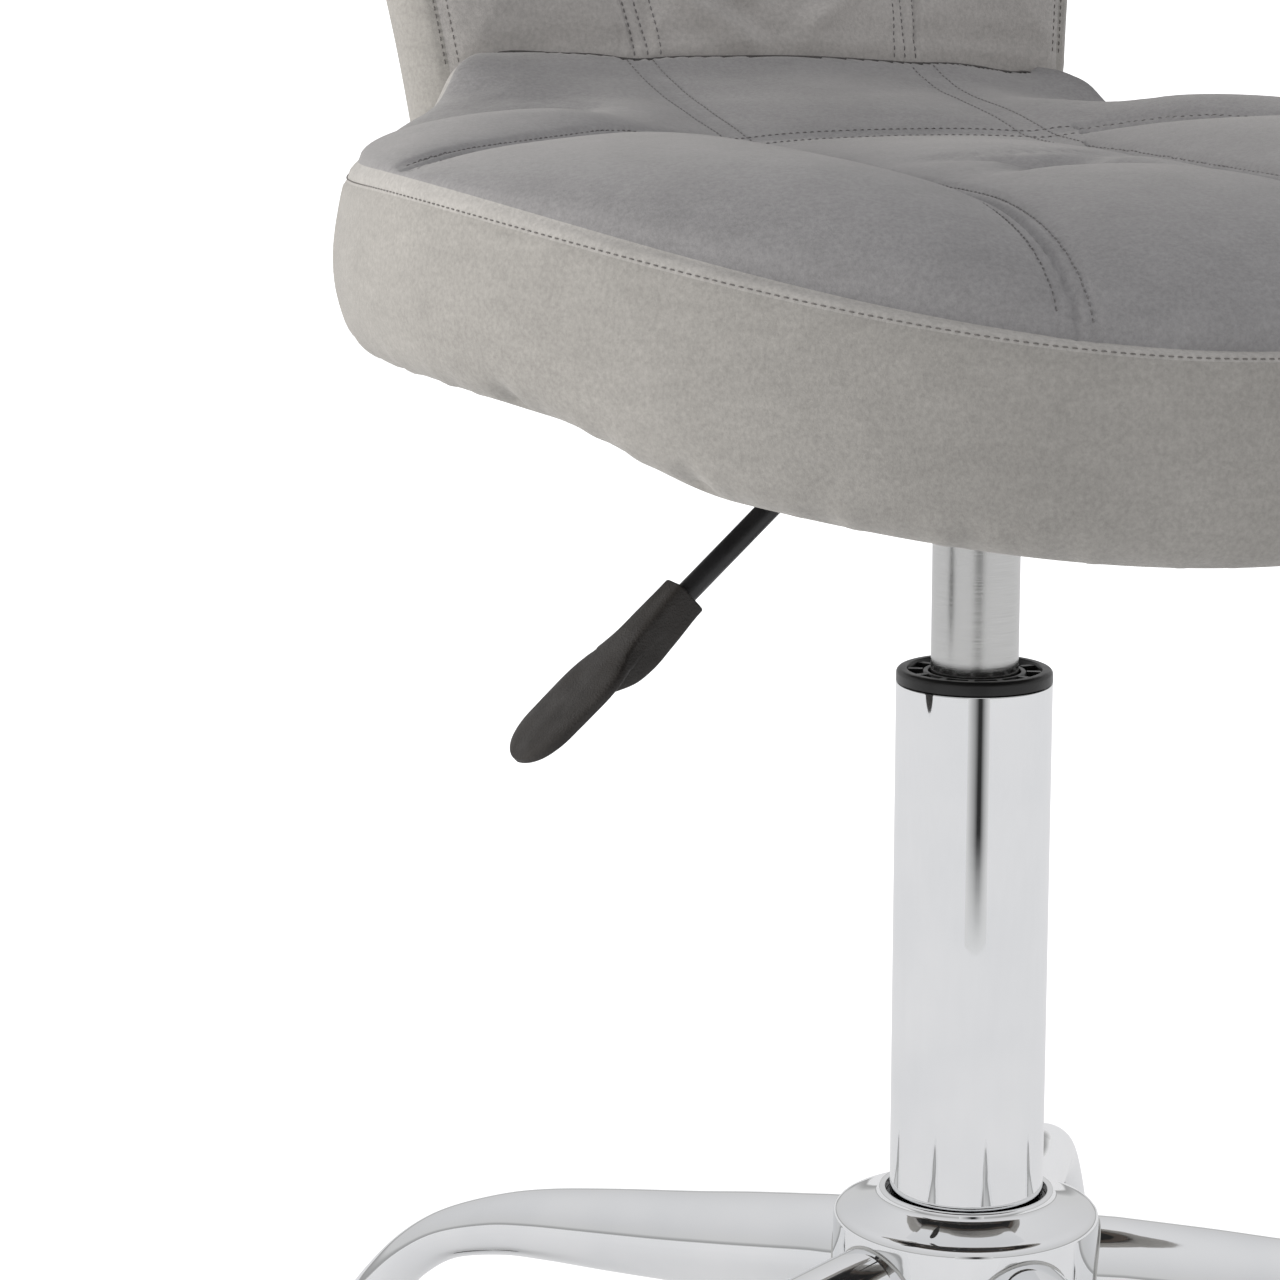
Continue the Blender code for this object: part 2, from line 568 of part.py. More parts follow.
def make_grip(pivot):
    """Paddle and block as one skin, whose rings take the outer of their two outlines."""
    start = Vector((GRIP_START_X, 0, lever_line_z(GRIP_START_X)))
    along = Vector((-math.cos(LEVER_SLOPE), 0, -math.sin(LEVER_SLOPE)))
    across = Vector((0, 1, 0))
    out = along.cross(across)
    origin = Vector(pivot.location)
    points = 24
    cage = bmesh.new()
    rings = []
    distances = {section[0] for section in PADDLE_SECTIONS + BLOCK_SECTIONS}
    for distance in sorted(distances):
        paddle = grip_section(PADDLE_SECTIONS, distance)
        block = grip_section(BLOCK_SECTIONS, distance)
        middle = (paddle[1] - paddle[2]) / 2
        ring = []
        for step in range(points):
            angle = math.tau * (step + 0.5) / points
            side, rise = math.cos(angle), math.sin(angle)
            reach = grip_reach(paddle, middle, side, rise)
            if distance < BLOCK_SECTIONS[-1][0]:
                reach = max(reach, grip_reach(block, middle, side, rise))
            spot = start + along * distance + across * side * reach
            ring.append(cage.verts.new(spot + out * (middle + rise * reach) - origin))
        rings.append(ring)
    for near, far in zip(rings, rings[1:]):
        for step in range(points):
            after = (step + 1) % points
            cage.faces.new((near[step], near[after], far[after], far[step]))
    cage.faces.new(rings[0])
    cage.faces.new(rings[-1])
    bmesh.ops.recalc_face_normals(cage, faces=cage.faces)
    mesh = bpy.data.meshes.new("lever_grip")
    cage.to_mesh(mesh)
    cage.free()
    grip = place("grip", mesh, GRIP_PLASTIC)
    centre = start - origin
    hole = cylinder_guide("rod_hole", LEVER_ROD_RADIUS + GAP, 2 * GRIP_BORE, centre, along, 16)
    boolean(grip, hole)
    shape = evaluated_mesh(grip)
    smooth(shape)
    place("lever_grip", shape, GRIP_PLASTIC, pivot)
    bpy.data.objects.remove(hole, do_unlink=True)


# Upholstered seat -----------------------------------------------------------------------
def ease(value, low, high):
    """0 below low, 1 above high, smooth between."""
    t = min(max((value - low) / (high - low), 0.0), 1.0)
    return t * t * (3 - 2 * t)


def seat_edge(angle):
    """Height of the seam between the seat's top and its side band."""
    rise = math.sin(math.radians(min(angle, 90))) ** 2
    side = EDGE_FRONT + (EDGE_SIDE - EDGE_FRONT) * rise
    return side + (EDGE_REAR - EDGE_SIDE) * ease(angle, 130, 146)


def seat_skirt(angle):
    """Height of the side band's lower edge."""
    if angle > 90:
        return SKIRT_SIDE + (SKIRT_REAR - SKIRT_SIDE) * ease(angle, 135, 156)
    sweep = (SKIRT_SIDE - SKIRT_FRONT - SKIRT_RISE) * math.sin(math.radians(angle)) ** 2
    return SKIRT_FRONT + sweep + SKIRT_RISE * ease(angle, 47, 66)


def chord_y(x):
    """Y of the line where the seat meets the back."""
    return CHORD_Y + CHORD_BOW * (x / CHORD_HALF) ** 2


def space_behind_seat():
    """A block that cuts the seat's round cushion off along the back's pad."""
    low, high = SKIRT_SIDE - 0.02, EDGE_REAR + 0.04
    across = [-0.15 + 0.30 * step / 12 for step in range(13)]
    outline = [(x, chord_y(x) - GAP) for x in across] + [(0.15, 0.26), (-0.15, 0.26)]
    cage = bmesh.new()
    lower = [cage.verts.new((x, y, low)) for x, y in outline]
    upper = [cage.verts.new((x, y, high)) for x, y in outline]
    for step in range(len(outline)):
        after = (step + 1) % len(outline)
        cage.faces.new((lower[step], lower[after], upper[after], upper[step]))
    cage.faces.new(lower)
    cage.faces.new(upper)
    bmesh.ops.recalc_face_normals(cage, faces=cage.faces)
    mesh = bpy.data.meshes.new("space_behind_seat")
    cage.to_mesh(mesh)
    cage.free()
    return guide(place("space_behind_seat", mesh, VELVET))


def make_seat_cushion():
    """Turned about the column at its side section, then bent into the saddle shape."""
    seat = BOARD_TOP + GAP + 0.0002
    inner = BOARD_RADIUS + 0.003
    profile = [
        (0, SEAT_CROWN), (0.070, SEAT_CROWN + 0.002), (0.125, SEAT_CROWN + 0.007),
        (0.165, SEAT_CROWN + 0.008), (0.190, SEAT_CROWN - 0.001), (SEAT_RADIUS, EDGE_SIDE),
        (SEAT_RADIUS + 0.003, (EDGE_SIDE + SKIRT_SIDE) / 2),
        (SEAT_RADIUS - 0.002, SKIRT_SIDE + 0.006), (SEAT_RADIUS - 0.010, SKIRT_SIDE),
        (0.185, SKIRT_SIDE + 0.002), (inner, SKIRT_SIDE + 0.004), (inner, seat), (0, seat),
    ]
    mesh = turned_mesh("seat_cushion", profile, 36, ring=False)
    for vertex in mesh.vertices:
        x, y, z = vertex.co
        reach = math.hypot(x, y)
        if reach < 0.001 or (reach < inner + 0.001 and abs(z - seat) < 0.0001):
            continue
        angle = math.degrees(math.acos(max(-1.0, min(1.0, -y / reach))))
        top_shift = seat_edge(angle) - EDGE_SIDE
        foot_shift = seat_skirt(angle) - SKIRT_SIDE
        outward = min(reach / SEAT_RADIUS, 1.0)
        if z > EDGE_SIDE - 0.0001:
            shift = top_shift * outward ** 4 + 0.4 * top_shift * (outward - outward ** 4)
        else:
            level = (z - SKIRT_SIDE) / (EDGE_SIDE - SKIRT_SIDE)
            shift = foot_shift + (top_shift - foot_shift) * min(max(level, 0.0), 1.0)
        vertex.co.z = z + shift
    boolean(place("seat_cushion", mesh, VELVET), space_behind_seat())


# Back -----------------------------------------------------------------------------------
def back_lean(rise):
    """Angle from upright of the back, rise metres along its slope above the seat."""
    if rise < 0:
        return LEAN_FOOT * max(0.0, 1 + rise / LEAN_RUN)
    return LEAN_FOOT + (LEAN_TOP - LEAN_FOOT) * min(rise / BACK_HEIGHT, 1.0)


def back_section(rise, steps=24):
    """(y, z) of the middle of the board's front face, added up along its slope."""
    y, z = BACK_FOOT_Y, BACK_FOOT_Z
    length = rise / steps
    for step in range(steps):
        lean = back_lean((step + 0.5) * length)
        y += math.sin(lean) * length
        z += math.cos(lean) * length
    return y, z


def back_point(x, rise, depth):
    """A point of the back, depth metres behind its board's front face."""
    y, z = back_section(rise)
    lean = back_lean(rise)
    side = x / BACK_CURVE
    ahead = math.sqrt(1 - side * side)
    normal = Vector((side * math.cos(lean), ahead * math.cos(lean), -math.sin(lean)))
    return Vector((x, y - BACK_CURVE * (1 - ahead), z)) + normal * depth


def back_half_width(rise):
    return BACK_HALF_WIDTH + BACK_FLARE * rise + BACK_SPREAD * max(rise, 0.0) ** 2


def pad_front(x, rise):
    """Front face of the pad: thick at its foot, where it meets the seat, thin above."""
    if rise <= 0:
        return Vector((x, chord_y(x), back_section(rise)[1]))
    foot = (back_point(x, 0, 0).y - chord_y(x)) / math.cos(LEAN_FOOT)
    rest = PAD_EDGE + PAD_CROWN * max(0.0, 1 - (x / back_half_width(rise)) ** 2)
    return back_point(x, rise, -rest - (foot - rest) * math.exp(-rise / PAD_FADE))


def back_layer(name, front, rear, foot, inset, finish, columns=12, rows=9):
    """A closed solid between two faces, each a function of (x, rise), in the back's outline."""
    cage = bmesh.new()
    faces = []
    for face in (front, rear):
        grid = []
        for row in range(rows + 1):
            up = row / rows
            line = []
            for column in range(columns + 1):
                across = 2 * column / columns - 1
                top = (BACK_HEIGHT - inset) * (1 - CORNER_DROP * abs(across) ** 5)
                rise = foot + up * (top - foot)
                spot = face(across * (back_half_width(rise) - inset), rise)
                line.append(cage.verts.new(spot))
            grid.append(line)
        faces.append(grid)
        for row in range(rows):
            for column in range(columns):
                cage.faces.new((grid[row][column], grid[row][column + 1],
                                grid[row + 1][column + 1], grid[row + 1][column]))
    rims = [grid[0][:-1] + [line[-1] for line in grid[:-1]] + grid[-1][:0:-1]
            + [line[0] for line in grid[:0:-1]] for grid in faces]
    for step in range(len(rims[0])):
        after = (step + 1) % len(rims[0])
        cage.faces.new((rims[0][step], rims[0][after], rims[1][after], rims[1][step]))
    bmesh.ops.recalc_face_normals(cage, faces=cage.faces)
    mesh = bpy.data.meshes.new(name)
    cage.to_mesh(mesh)
    cage.free()
    smooth(mesh, 60)
    place(name, mesh, finish)


def make_back():
    def at_depth(depth):
        return lambda x, rise: back_point(x, rise, depth)

    back_layer("back_cushion", pad_front, at_depth(-GAP), BACK_FOOT, 0.0, VELVET)
    back_layer("back_board", at_depth(0.0), at_depth(BOARD_SHEET), BACK_FOOT, 0.008, PLYWOOD)
    back_layer("back_cover", at_depth(COVER_DEPTH), at_depth(COVER_DEPTH + COVER_SHEET),
               COVER_FOOT, 0.006, VELVET)


def make_back_brackets():
    """Bent steel straps from under the seat board up behind the back board."""
    height = PLATE_BOTTOM + SHEET / 2
    for label, middle in (("left", 0.050), ("right", -0.050)):
        columns = []
        for x in (middle - 0.015, middle + 0.015):
            flat = [Vector((x, y, height)) for y in (0.122, 0.160, 0.190)]
            climb = [back_point(x, rise, BRACKET_DEPTH)
                     for rise in (-0.072, -0.060, -0.040, -0.020)]
            columns.append(flat + climb)
        cage = bmesh.new()
        left, right = [[cage.verts.new(spot) for spot in column] for column in columns]
        for row in range(len(left) - 1):
            cage.faces.new((left[row], right[row], right[row + 1], left[row + 1]))
        mesh = bpy.data.meshes.new(f"back_bracket_{label}")
        cage.to_mesh(mesh)
        cage.free()
        strap = place(f"back_bracket_{label}", mesh, BLACK_STEEL)
        wall = strap.modifiers.new("thickness", "SOLIDIFY")
        wall.thickness = BRACKET_SHEET
        wall.offset = 0


make_hub()
make_legs()
make_castors()
make_column()
make_gas_cylinder()
make_taper_socket()
make_housing()
make_plate_and_bolts()
make_dust_cover()
make_lever()
make_seat_cushion()
make_back()
make_back_brackets()
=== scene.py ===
"""Looks of the swivel stool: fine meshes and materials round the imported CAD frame.

Lengths are in metres in the frame's own axes: the stool faces -Y, +Z is up, and the
origin is on the floor below the column.
"""
import json
import math

import bmesh
import bpy
import numpy as np
from mathutils import Matrix, Vector
from mathutils.bvhtree import BVHTree
from mathutils.kdtree import KDTree


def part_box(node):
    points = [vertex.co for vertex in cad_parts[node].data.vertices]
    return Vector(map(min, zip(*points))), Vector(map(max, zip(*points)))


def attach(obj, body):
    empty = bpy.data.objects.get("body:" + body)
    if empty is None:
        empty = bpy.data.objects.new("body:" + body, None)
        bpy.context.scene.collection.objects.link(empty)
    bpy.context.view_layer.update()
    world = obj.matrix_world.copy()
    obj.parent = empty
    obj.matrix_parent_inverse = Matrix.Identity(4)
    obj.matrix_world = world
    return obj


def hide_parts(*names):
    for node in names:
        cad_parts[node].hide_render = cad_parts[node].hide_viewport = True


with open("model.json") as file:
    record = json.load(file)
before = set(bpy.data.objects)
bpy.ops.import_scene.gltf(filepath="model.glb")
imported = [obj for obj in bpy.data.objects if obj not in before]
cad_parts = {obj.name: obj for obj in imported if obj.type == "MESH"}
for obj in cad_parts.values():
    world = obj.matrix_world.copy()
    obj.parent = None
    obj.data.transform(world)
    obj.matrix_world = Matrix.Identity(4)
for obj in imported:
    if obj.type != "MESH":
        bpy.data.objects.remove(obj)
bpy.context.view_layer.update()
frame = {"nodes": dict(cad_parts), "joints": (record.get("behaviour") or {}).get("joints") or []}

LEGS = range(1, 6)
BEAD_RADIUS = 0.0005        # of the seam round a leg's root and of the dark bead behind the seat, which is painted shade in the crease


# Places read from the frame ----------------------------------------------------------------
def radius_of(node):
    low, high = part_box(node)
    return (high.x - low.x) / 2


def heights(node):
    low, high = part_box(node)
    return low.z, high.z


HUB_RADIUS = radius_of("hub")
HUB_BOTTOM, HUB_TOP = heights("hub")
TUBE_RADIUS = radius_of("column_tube")
TUBE_BOTTOM, TUBE_TOP = heights("column_tube")
CYLINDER_RADIUS = radius_of("gas_cylinder")
JOINTS = {joint["name"]: joint for joint in frame["joints"]}

# Shape of the upholstery, close to that of the CAD solids it stands for
SEAT_RADIUS = 0.2015
EDGE_FRONT, EDGE_SIDE = 0.4877, 0.5275      # seam between the seat's top and its side band
SKIRT_FRONT, SKIRT_SIDE, SKIRT_REAR, SKIRT_RISE = 0.4295, 0.4700, 0.4735, 0.0095
CHORD_Y, CHORD_BOW, CHORD_HALF = 0.154, 0.014, 0.116    # where the seat meets the back
SEAM_X = 0.0535
QUILT = 0.0065              # how far the panels stand above their seams
TOPSTITCH = 0.0047          # from a seam to the stitches on each side of it
STITCH_PITCH, STITCH_LENGTH, THREAD_RADIUS = 0.0026, 0.0021, 0.00021
BACK_FOOT_Y, BACK_FOOT_Z, BACK_CURVE = 0.1975, 0.547, 0.45
BACK_HALF_WIDTH, BACK_FLARE, BACK_SPREAD = 0.116, 0.12, 0.75
BACK_HEIGHT, BACK_BOTTOM, BACK_REAR = 0.260, -0.082, 0.0180
LEAN_FOOT, LEAN_TOP, LEAN_RUN = math.radians(12), math.radians(16), 0.075
PAD_EDGE, PAD_CROWN, PAD_FADE = 0.016, 0.006, 0.055
TUFT_Y = -0.050             # the pulled-in spot in the seat's middle panel


# Materials ---------------------------------------------------------------------------------
def grey(level):
    return (level, level, level)


def preset(node, values):
    """Sets input values of a node; an underscore in a socket's name stands for a space."""
    for socket, value in values.items():
        node.inputs[socket.replace("_", " ")].default_value = value
    return node


def colour_ramp(tree, factor, stops):
    """Output of a ramp through stops of (position, colour)."""
    node = tree.nodes.new("ShaderNodeValToRGB")
    elements = node.color_ramp.elements
    while len(elements) < len(stops):
        elements.new(0.5)
    for element, (position, colour) in zip(elements, stops):
        element.position = position
        element.color = (*colour, 1.0)
    tree.links.new(factor, node.inputs["Fac"])
    return node.outputs["Color"]


def colour_mix(tree, factor, first, second, blend="MIX"):
    """Output of a colour mix; each source is a value or another node's output."""
    node = tree.nodes.new("ShaderNodeMix")
    node.data_type = "RGBA"
    node.blend_type = blend
    for source, socket in ((factor, "Factor"), (first, "A"), (second, "B")):
        if isinstance(source, (float, tuple)):
            node.inputs[socket].default_value = source
        else:
            tree.links.new(source, node.inputs[socket])
    return node.outputs["Result"]


class Finish:
    """A Principled material under construction, with short calls for its nodes."""

    def __init__(self, name, **sockets):
        self.material = bpy.data.materials.new(name)
        self.material.use_nodes = True
        self.tree = self.material.node_tree
        self.shader = preset(self.tree.nodes["Principled BSDF"], sockets)
        self.place = self.tree.nodes.new("ShaderNodeTexCoord").outputs["Object"]

    def link(self, source, target):
        self.tree.links.new(source, target)

    def node(self, kind, **values):
        return preset(self.tree.nodes.new(f"ShaderNode{kind}"), values)

    def stretched(self, scale):
        mapping = self.node("Mapping", Scale=scale)
        self.link(self.place, mapping.inputs["Vector"])
        return mapping.outputs["Vector"]

    def noise(self, scale, detail=3.0, roughness=0.5, stretch=None):
        node = self.node("TexNoise", Scale=scale, Detail=detail, Roughness=roughness)
        self.link(self.stretched(stretch) if stretch else self.place, node.inputs["Vector"])
        return node.outputs["Fac"]

    def cells(self, scale):
        node = self.node("TexVoronoi", Scale=scale)
        self.link(self.place, node.inputs["Vector"])
        return node.outputs["Distance"]

    def ramp(self, factor, *stops):
        return colour_ramp(self.tree, factor, stops)

    def two_tone(self, factor, dark, light):
        return self.ramp(factor, (0.3, dark), (0.7, light))

    def spread(self, factor, low, high):
        """The factor's middle range, stretched to run from low to high."""
        node = self.node("MapRange", From_Min=0.3, From_Max=0.7, To_Min=low, To_Max=high)
        self.link(factor, node.inputs["Value"])
        return node.outputs["Result"]

    def multiplied(self, first, second, factor):
        return colour_mix(self.tree, factor, first, second, "MULTIPLY")

    def bump(self, height, strength, distance, normal=None):
        node = self.node("Bump", Strength=strength, Distance=distance)
        self.link(height, node.inputs["Height"])
        if normal:
            self.link(normal, node.inputs["Normal"])
        return node.outputs["Normal"]

    def done(self, colour=None, roughness=None, normal=None):
        for source, socket in ((colour, "Base Color"), (roughness, "Roughness"),
                               (normal, "Normal")):
            if source is not None:
                self.link(source, self.shader.inputs[socket])
        return self.material


def shade(colour, factor):
    """The colour made lighter or darker."""
    return tuple(channel * factor for channel in colour)


def velvet(name, colour, sheen):
    """Short-pile velvet: nap clouds, stroked marks, fine pile and a rim of sheen."""
    pile = Finish(name, Sheen_Weight=sheen, Sheen_Roughness=0.38, Specular_IOR_Level=0.15)
    pile.shader.inputs["Sheen Tint"].default_value = (1.0, 0.985, 0.96, 1.0)
    clouds = pile.ramp(pile.noise(16, 4, 0.55), (0.30, shade(colour, 0.92)),
                       (0.52, colour), (0.74, shade(colour, 1.07)))
    strokes = pile.ramp(pile.noise(60, 3, 0.6, (1, 1, 3.5)), (0.35, grey(0.92)),
                        (0.65, grey(1.0)))
    fibres = pile.ramp(pile.noise(700, 3, 0.7), (0.32, grey(0.80)), (0.68, grey(1.07)))
    tone = pile.multiplied(pile.multiplied(clouds, strokes, 0.8), fibres, 0.8)
    rough = pile.spread(pile.noise(300, 2), 0.78, 0.92)
    pile_bump = pile.bump(pile.noise(1600, 3, 0.7), 0.35, 0.0005)
    soft = pile.bump(pile.noise(120, 3, 0.5), 0.18, 0.0012, pile_bump)
    return pile.done(tone, rough, soft)


def chrome():
    """Mirror plate with faint polishing haze and almost flat orange peel."""
    plate = Finish("chrome_plate", Metallic=1.0)
    colour = plate.two_tone(plate.noise(30, 2), (0.86, 0.87, 0.88), (0.91, 0.915, 0.92))
    rough = plate.spread(plate.noise(45, 4, 0.6), 0.025, 0.055)
    return plate.done(colour, rough, plate.bump(plate.noise(90, 2), 0.015, 0.001))


def ground_steel():
    """Satin cylinder: fine turned lines round it and a soft streaky roughness."""
    steel = Finish("ground_steel", Metallic=1.0, Anisotropic=0.55)
    lines = steel.noise(90, 3, 0.6, (1, 1, 60))
    colour = steel.two_tone(lines, (0.56, 0.56, 0.55), (0.68, 0.68, 0.67))
    return steel.done(colour, steel.spread(lines, 0.17, 0.27), steel.bump(lines, 0.06, 0.0004))


def zinc():
    """Dull plated steel with a faint cloud."""
    plate = Finish("zinc_plate", Metallic=1.0)
    cloud = plate.noise(70, 4, 0.6)
    colour = plate.two_tone(cloud, (0.50, 0.50, 0.49), (0.63, 0.63, 0.61))
    return plate.done(colour, plate.spread(cloud, 0.25, 0.40), plate.bump(cloud, 0.05, 0.0005))


def black_coat():
    """Powder coat with a fine pebble."""
    coat = Finish("powder_coat", Metallic=0.0, Coat_Weight=0.15, Coat_Roughness=0.3)
    pebble = coat.cells(1500)
    colour = coat.two_tone(coat.noise(50, 3), (0.010, 0.010, 0.011), (0.019, 0.019, 0.020))
    return coat.done(colour, coat.spread(coat.noise(200, 2), 0.34, 0.46),
                     coat.bump(pebble, 0.12, 0.0003))


def moulded(name, dark, light, rough_low, rough_high, grain, grain_depth):
    """Moulded plastic with a grain of small cells."""
    plastic = Finish(name)
    colour = plastic.two_tone(plastic.noise(80, 4, 0.6), dark, light)
    skin = plastic.bump(plastic.cells(grain), grain_depth, 0.0004)
    soft = plastic.bump(plastic.noise(grain * 1.7, 2), grain_depth * 0.6, 0.0003, skin)
    return plastic.done(colour, plastic.spread(plastic.noise(120, 3), rough_low, rough_high), soft)


def plywood():
    """Dark stained plywood with long grain along X and darker pores."""
    wood = Finish("stained_plywood")
    grain = wood.noise(26, 5, 0.6, (1, 9, 9))
    colour = wood.ramp(grain, (0.30, (0.060, 0.045, 0.036)), (0.50, (0.085, 0.066, 0.052)),
                       (0.72, (0.105, 0.084, 0.068)))
    pores = wood.ramp(wood.noise(160, 3, 0.6, (1, 12, 12)), (0.32, (0.72, 0.68, 0.64)),
                      (0.48, grey(1.0)))
    return wood.done(wood.multiplied(colour, pores, 0.7),
                     wood.spread(grain, 0.55, 0.72), wood.bump(grain, 0.15, 0.0005))


def dust_cloth():
    """Bonded non-woven cloth: random flat fibres."""
    cloth = Finish("dust_cloth", Specular_IOR_Level=0.2)
    fibres = cloth.noise(420, 4, 0.7)
    colour = cloth.two_tone(fibres, grey(0.008), grey(0.035))
    return cloth.done(colour, cloth.spread(fibres, 0.85, 0.97), cloth.bump(fibres, 0.4, 0.0005))


def thread(name, colour):
    """Twisted sewing thread."""
    yarn = Finish(name, Specular_IOR_Level=0.25)
    twist = yarn.noise(1500, 2, 0.6)
    tone = yarn.two_tone(twist, shade(colour, 0.75), shade(colour, 1.15))
    return yarn.done(tone, yarn.spread(twist, 0.6, 0.8), yarn.bump(twist, 0.3, 0.0002))


VELVET_SIDE = velvet("velvet_band", (0.405, 0.390, 0.367), 0.30)
# Painted highlight: the rolled edge above the band's stitches is the band's velvet painted lighter
VELVET_EDGE_HIGHLIT = velvet("velvet_edge_painted_highlight", (0.490, 0.474, 0.452), 0.30)
# Painted shade: the seat's top is the band's velvet painted darker, standing for the top lying in
# less light
VELVET_TOP_SHADED = velvet("velvet_top_painted_shade", (0.335, 0.328, 0.330), 0.30)
# Painted light: the back's front panel is the same velvet painted lighter, standing for light
# falling on it from the front
VELVET_BACK_LIT = velvet("velvet_back_painted_light", (0.505, 0.486, 0.468), 0.30)
THREAD = thread("seam_thread", (0.20, 0.19, 0.18))
THREAD_DARK = thread("panel_thread", (0.215, 0.208, 0.207))
# Painted shade: near-black thread laid along the crease behind the seat, dark for the crease's
# shadow
THREAD_CREASE_SHADE = thread("crease_shade_thread", (0.100, 0.095, 0.092))
CHROME = chrome()
GROUND_STEEL = ground_steel()
ZINC = zinc()
BLACK_COAT = black_coat()
COLLAR_PLASTIC = moulded("collar_plastic", grey(0.006), grey(0.012), 0.28, 0.40, 1400, 0.05)
GRIP_PLASTIC = moulded("grip_plastic", (0.020, 0.0175, 0.0155), (0.034, 0.030, 0.027),
                       0.50, 0.66, 1500, 0.45)
NYLON = moulded("castor_nylon", (0.012, 0.012, 0.013), (0.022, 0.022, 0.023),
                0.30, 0.44, 900, 0.12)
PLYWOOD = plywood()
DUST_CLOTH = dust_cloth()


# Making pieces -----------------------------------------------------------------------------
def placed(name, data):
    """An object of the data, linked to the scene."""
    made = bpy.data.objects.new(name, data)
    bpy.context.scene.collection.objects.link(made)
    return made


def mesh_from(name, points, faces):
    mesh = bpy.data.meshes.new(name)
    mesh.from_pydata([tuple(point) for point in points], [], faces)
    return mesh


def mesh_of_cage(name, cage):
    """The cage as a mesh; the cage itself is freed."""
    mesh = bpy.data.meshes.new(name)
    cage.to_mesh(mesh)
    cage.free()
    return mesh


def face_out(mesh, weld=False):
    """Turns a closed mesh's faces so that they point out; weld first joins equal points."""
    cage = bmesh.new()
    cage.from_mesh(mesh)
    if weld:
        bmesh.ops.remove_doubles(cage, verts=cage.verts, dist=1e-6)
    bmesh.ops.recalc_face_normals(cage, faces=cage.faces)
    cage.to_mesh(mesh)
    cage.free()


def finished(mesh, finish):
    """The mesh with the finish as its only material."""
    mesh.materials.clear()
    mesh.materials.append(finish)
    return mesh


def piece_from(name, points, faces, finishes, body, stands_for=(), smooth_angle=None):
    """A closed mesh piece in the frame's axes that rides on a body."""
    mesh = mesh_from(name, points, faces)
    for finish in finishes:
        mesh.materials.append(finish)
    made = piece_of(name, mesh, body, stands_for, smooth_angle)
    face_out(mesh)
    return made


def piece_of(name, mesh, body, stands_for=(), smooth_angle=None):
    mesh.shade_smooth()
    if smooth_angle:
        mesh.set_sharp_from_angle(angle=math.radians(smooth_angle))
    made = placed(name, mesh)
    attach(made, body)
    if stands_for:
        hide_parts(*stands_for)
    return made


def ring_faces(rings, sides, closed=False):
    """Quads between rings of points, numbered ring by ring; closed joins last to first."""
    faces = []
    count = rings if closed else rings - 1
    for ring in range(count):
        after = (ring + 1) % rings
        for side in range(sides):
            step = (side + 1) % sides
            faces.append((ring * sides + side, after * sides + side,
                          after * sides + step, ring * sides + step))
    return faces


def tube_faces(rings, sides):
    """Quads between rings of points, and flat ends on the first and the last ring."""
    last = (rings - 1) * sides
    return ring_faces(rings, sides) + [tuple(range(sides)), tuple(range(last, last + sides))]


def rounded(profile, fillets=3):
    """Outline of a profile of (radius, height, fillet), its corners softened by arcs."""
    points = []
    count = len(profile)
    for index, (radius, height, fillet) in enumerate(profile):
        corner = Vector((radius, height))
        if not fillet or index in (0, count - 1):
            points.append(corner)
            continue
        before = Vector(profile[index - 1][:2]) - corner
        after = Vector(profile[index + 1][:2]) - corner
        reach = min(fillet, before.length * 0.45, after.length * 0.45)
        start = corner + before.normalized() * reach
        end = corner + after.normalized() * reach
        for step in range(fillets + 1):
            t = step / fillets
            points.append((1 - t) ** 2 * start + 2 * t * (1 - t) * corner + t * t * end)
    return points


def circle(sides):
    """(cosine, sine) of equal steps round a circle."""
    turns = [math.tau * side / sides for side in range(sides)]
    return [(math.cos(turn), math.sin(turn)) for turn in turns]


def ring(centre, radius, across, up, sides):
    return [centre + radius * (ahead * across + aside * up) for ahead, aside in circle(sides)]


def lathe_mesh(name, profile, finish, sides=96):
    """A profile turned about Z; one that starts off the axis joins its end to its start."""
    outline = rounded(profile)
    points = [(spot.x * ahead, spot.x * aside, spot.y)
              for spot in outline for ahead, aside in circle(sides)]
    mesh = mesh_from(name, points, ring_faces(len(outline), sides, closed=outline[0].x > 1e-6))
    face_out(mesh, weld=True)
    return finished(mesh, finish)


def turned(name, profile, finish, body, stands_for=(), sides=96):
    return piece_of(name, lathe_mesh(name, profile, finish, sides), body, stands_for, 35)


def curve_point(first, start, end, last, t):
    """The Catmull-Rom curve between start (t is 0) and end (t is 1)."""
    return 0.5 * (2 * start + (end - first) * t
                  + (2 * first - 5 * start + 4 * end - last) * t ** 2
                  + (3 * start - first - 3 * end + last) * t ** 3)


def smooth_path(stations, steps):
    """Smooth curve through the stations, with steps points from each to the next."""
    points = [Vector(station) for station in stations]
    padded = [2 * points[0] - points[1], *points, 2 * points[-1] - points[-2]]
    path = []
    for first, start, end, last in zip(padded, padded[1:], padded[2:], padded[3:]):
        path += [curve_point(first, start, end, last, step / steps) for step in range(steps)]
    path.append(points[-1])
    return path


def swept(path, radii, sides, across=Vector((0, 1, 0))):
    """Rings of points round a path that lies in the plane square to across."""
    points = []
    for index, spot in enumerate(path):
        ahead = path[min(index + 1, len(path) - 1)] - path[max(index - 1, 0)]
        points += ring(spot, radii[index], across, ahead.normalized().cross(across), sides)
    return points


def dress(node, finish, bevel=0.0):
    """Gives a CAD node that stays its fine material, and soft edges if asked."""
    kept = frame["nodes"][node]
    finished(kept.data, finish)
    if bevel:
        soften(kept, bevel, 40)


def soften(made, width, angle):
    """Bevels the edges that turn by more than the angle, in degrees."""
    edge = made.modifiers.new("soft_edges", "BEVEL")
    edge.width = width
    edge.segments = 2
    edge.limit_method = "ANGLE"
    edge.angle_limit = math.radians(angle)


# Chromed base and column -------------------------------------------------------------------
def leg_angle(number):
    return math.radians(-90 + 72 * (number - 1))


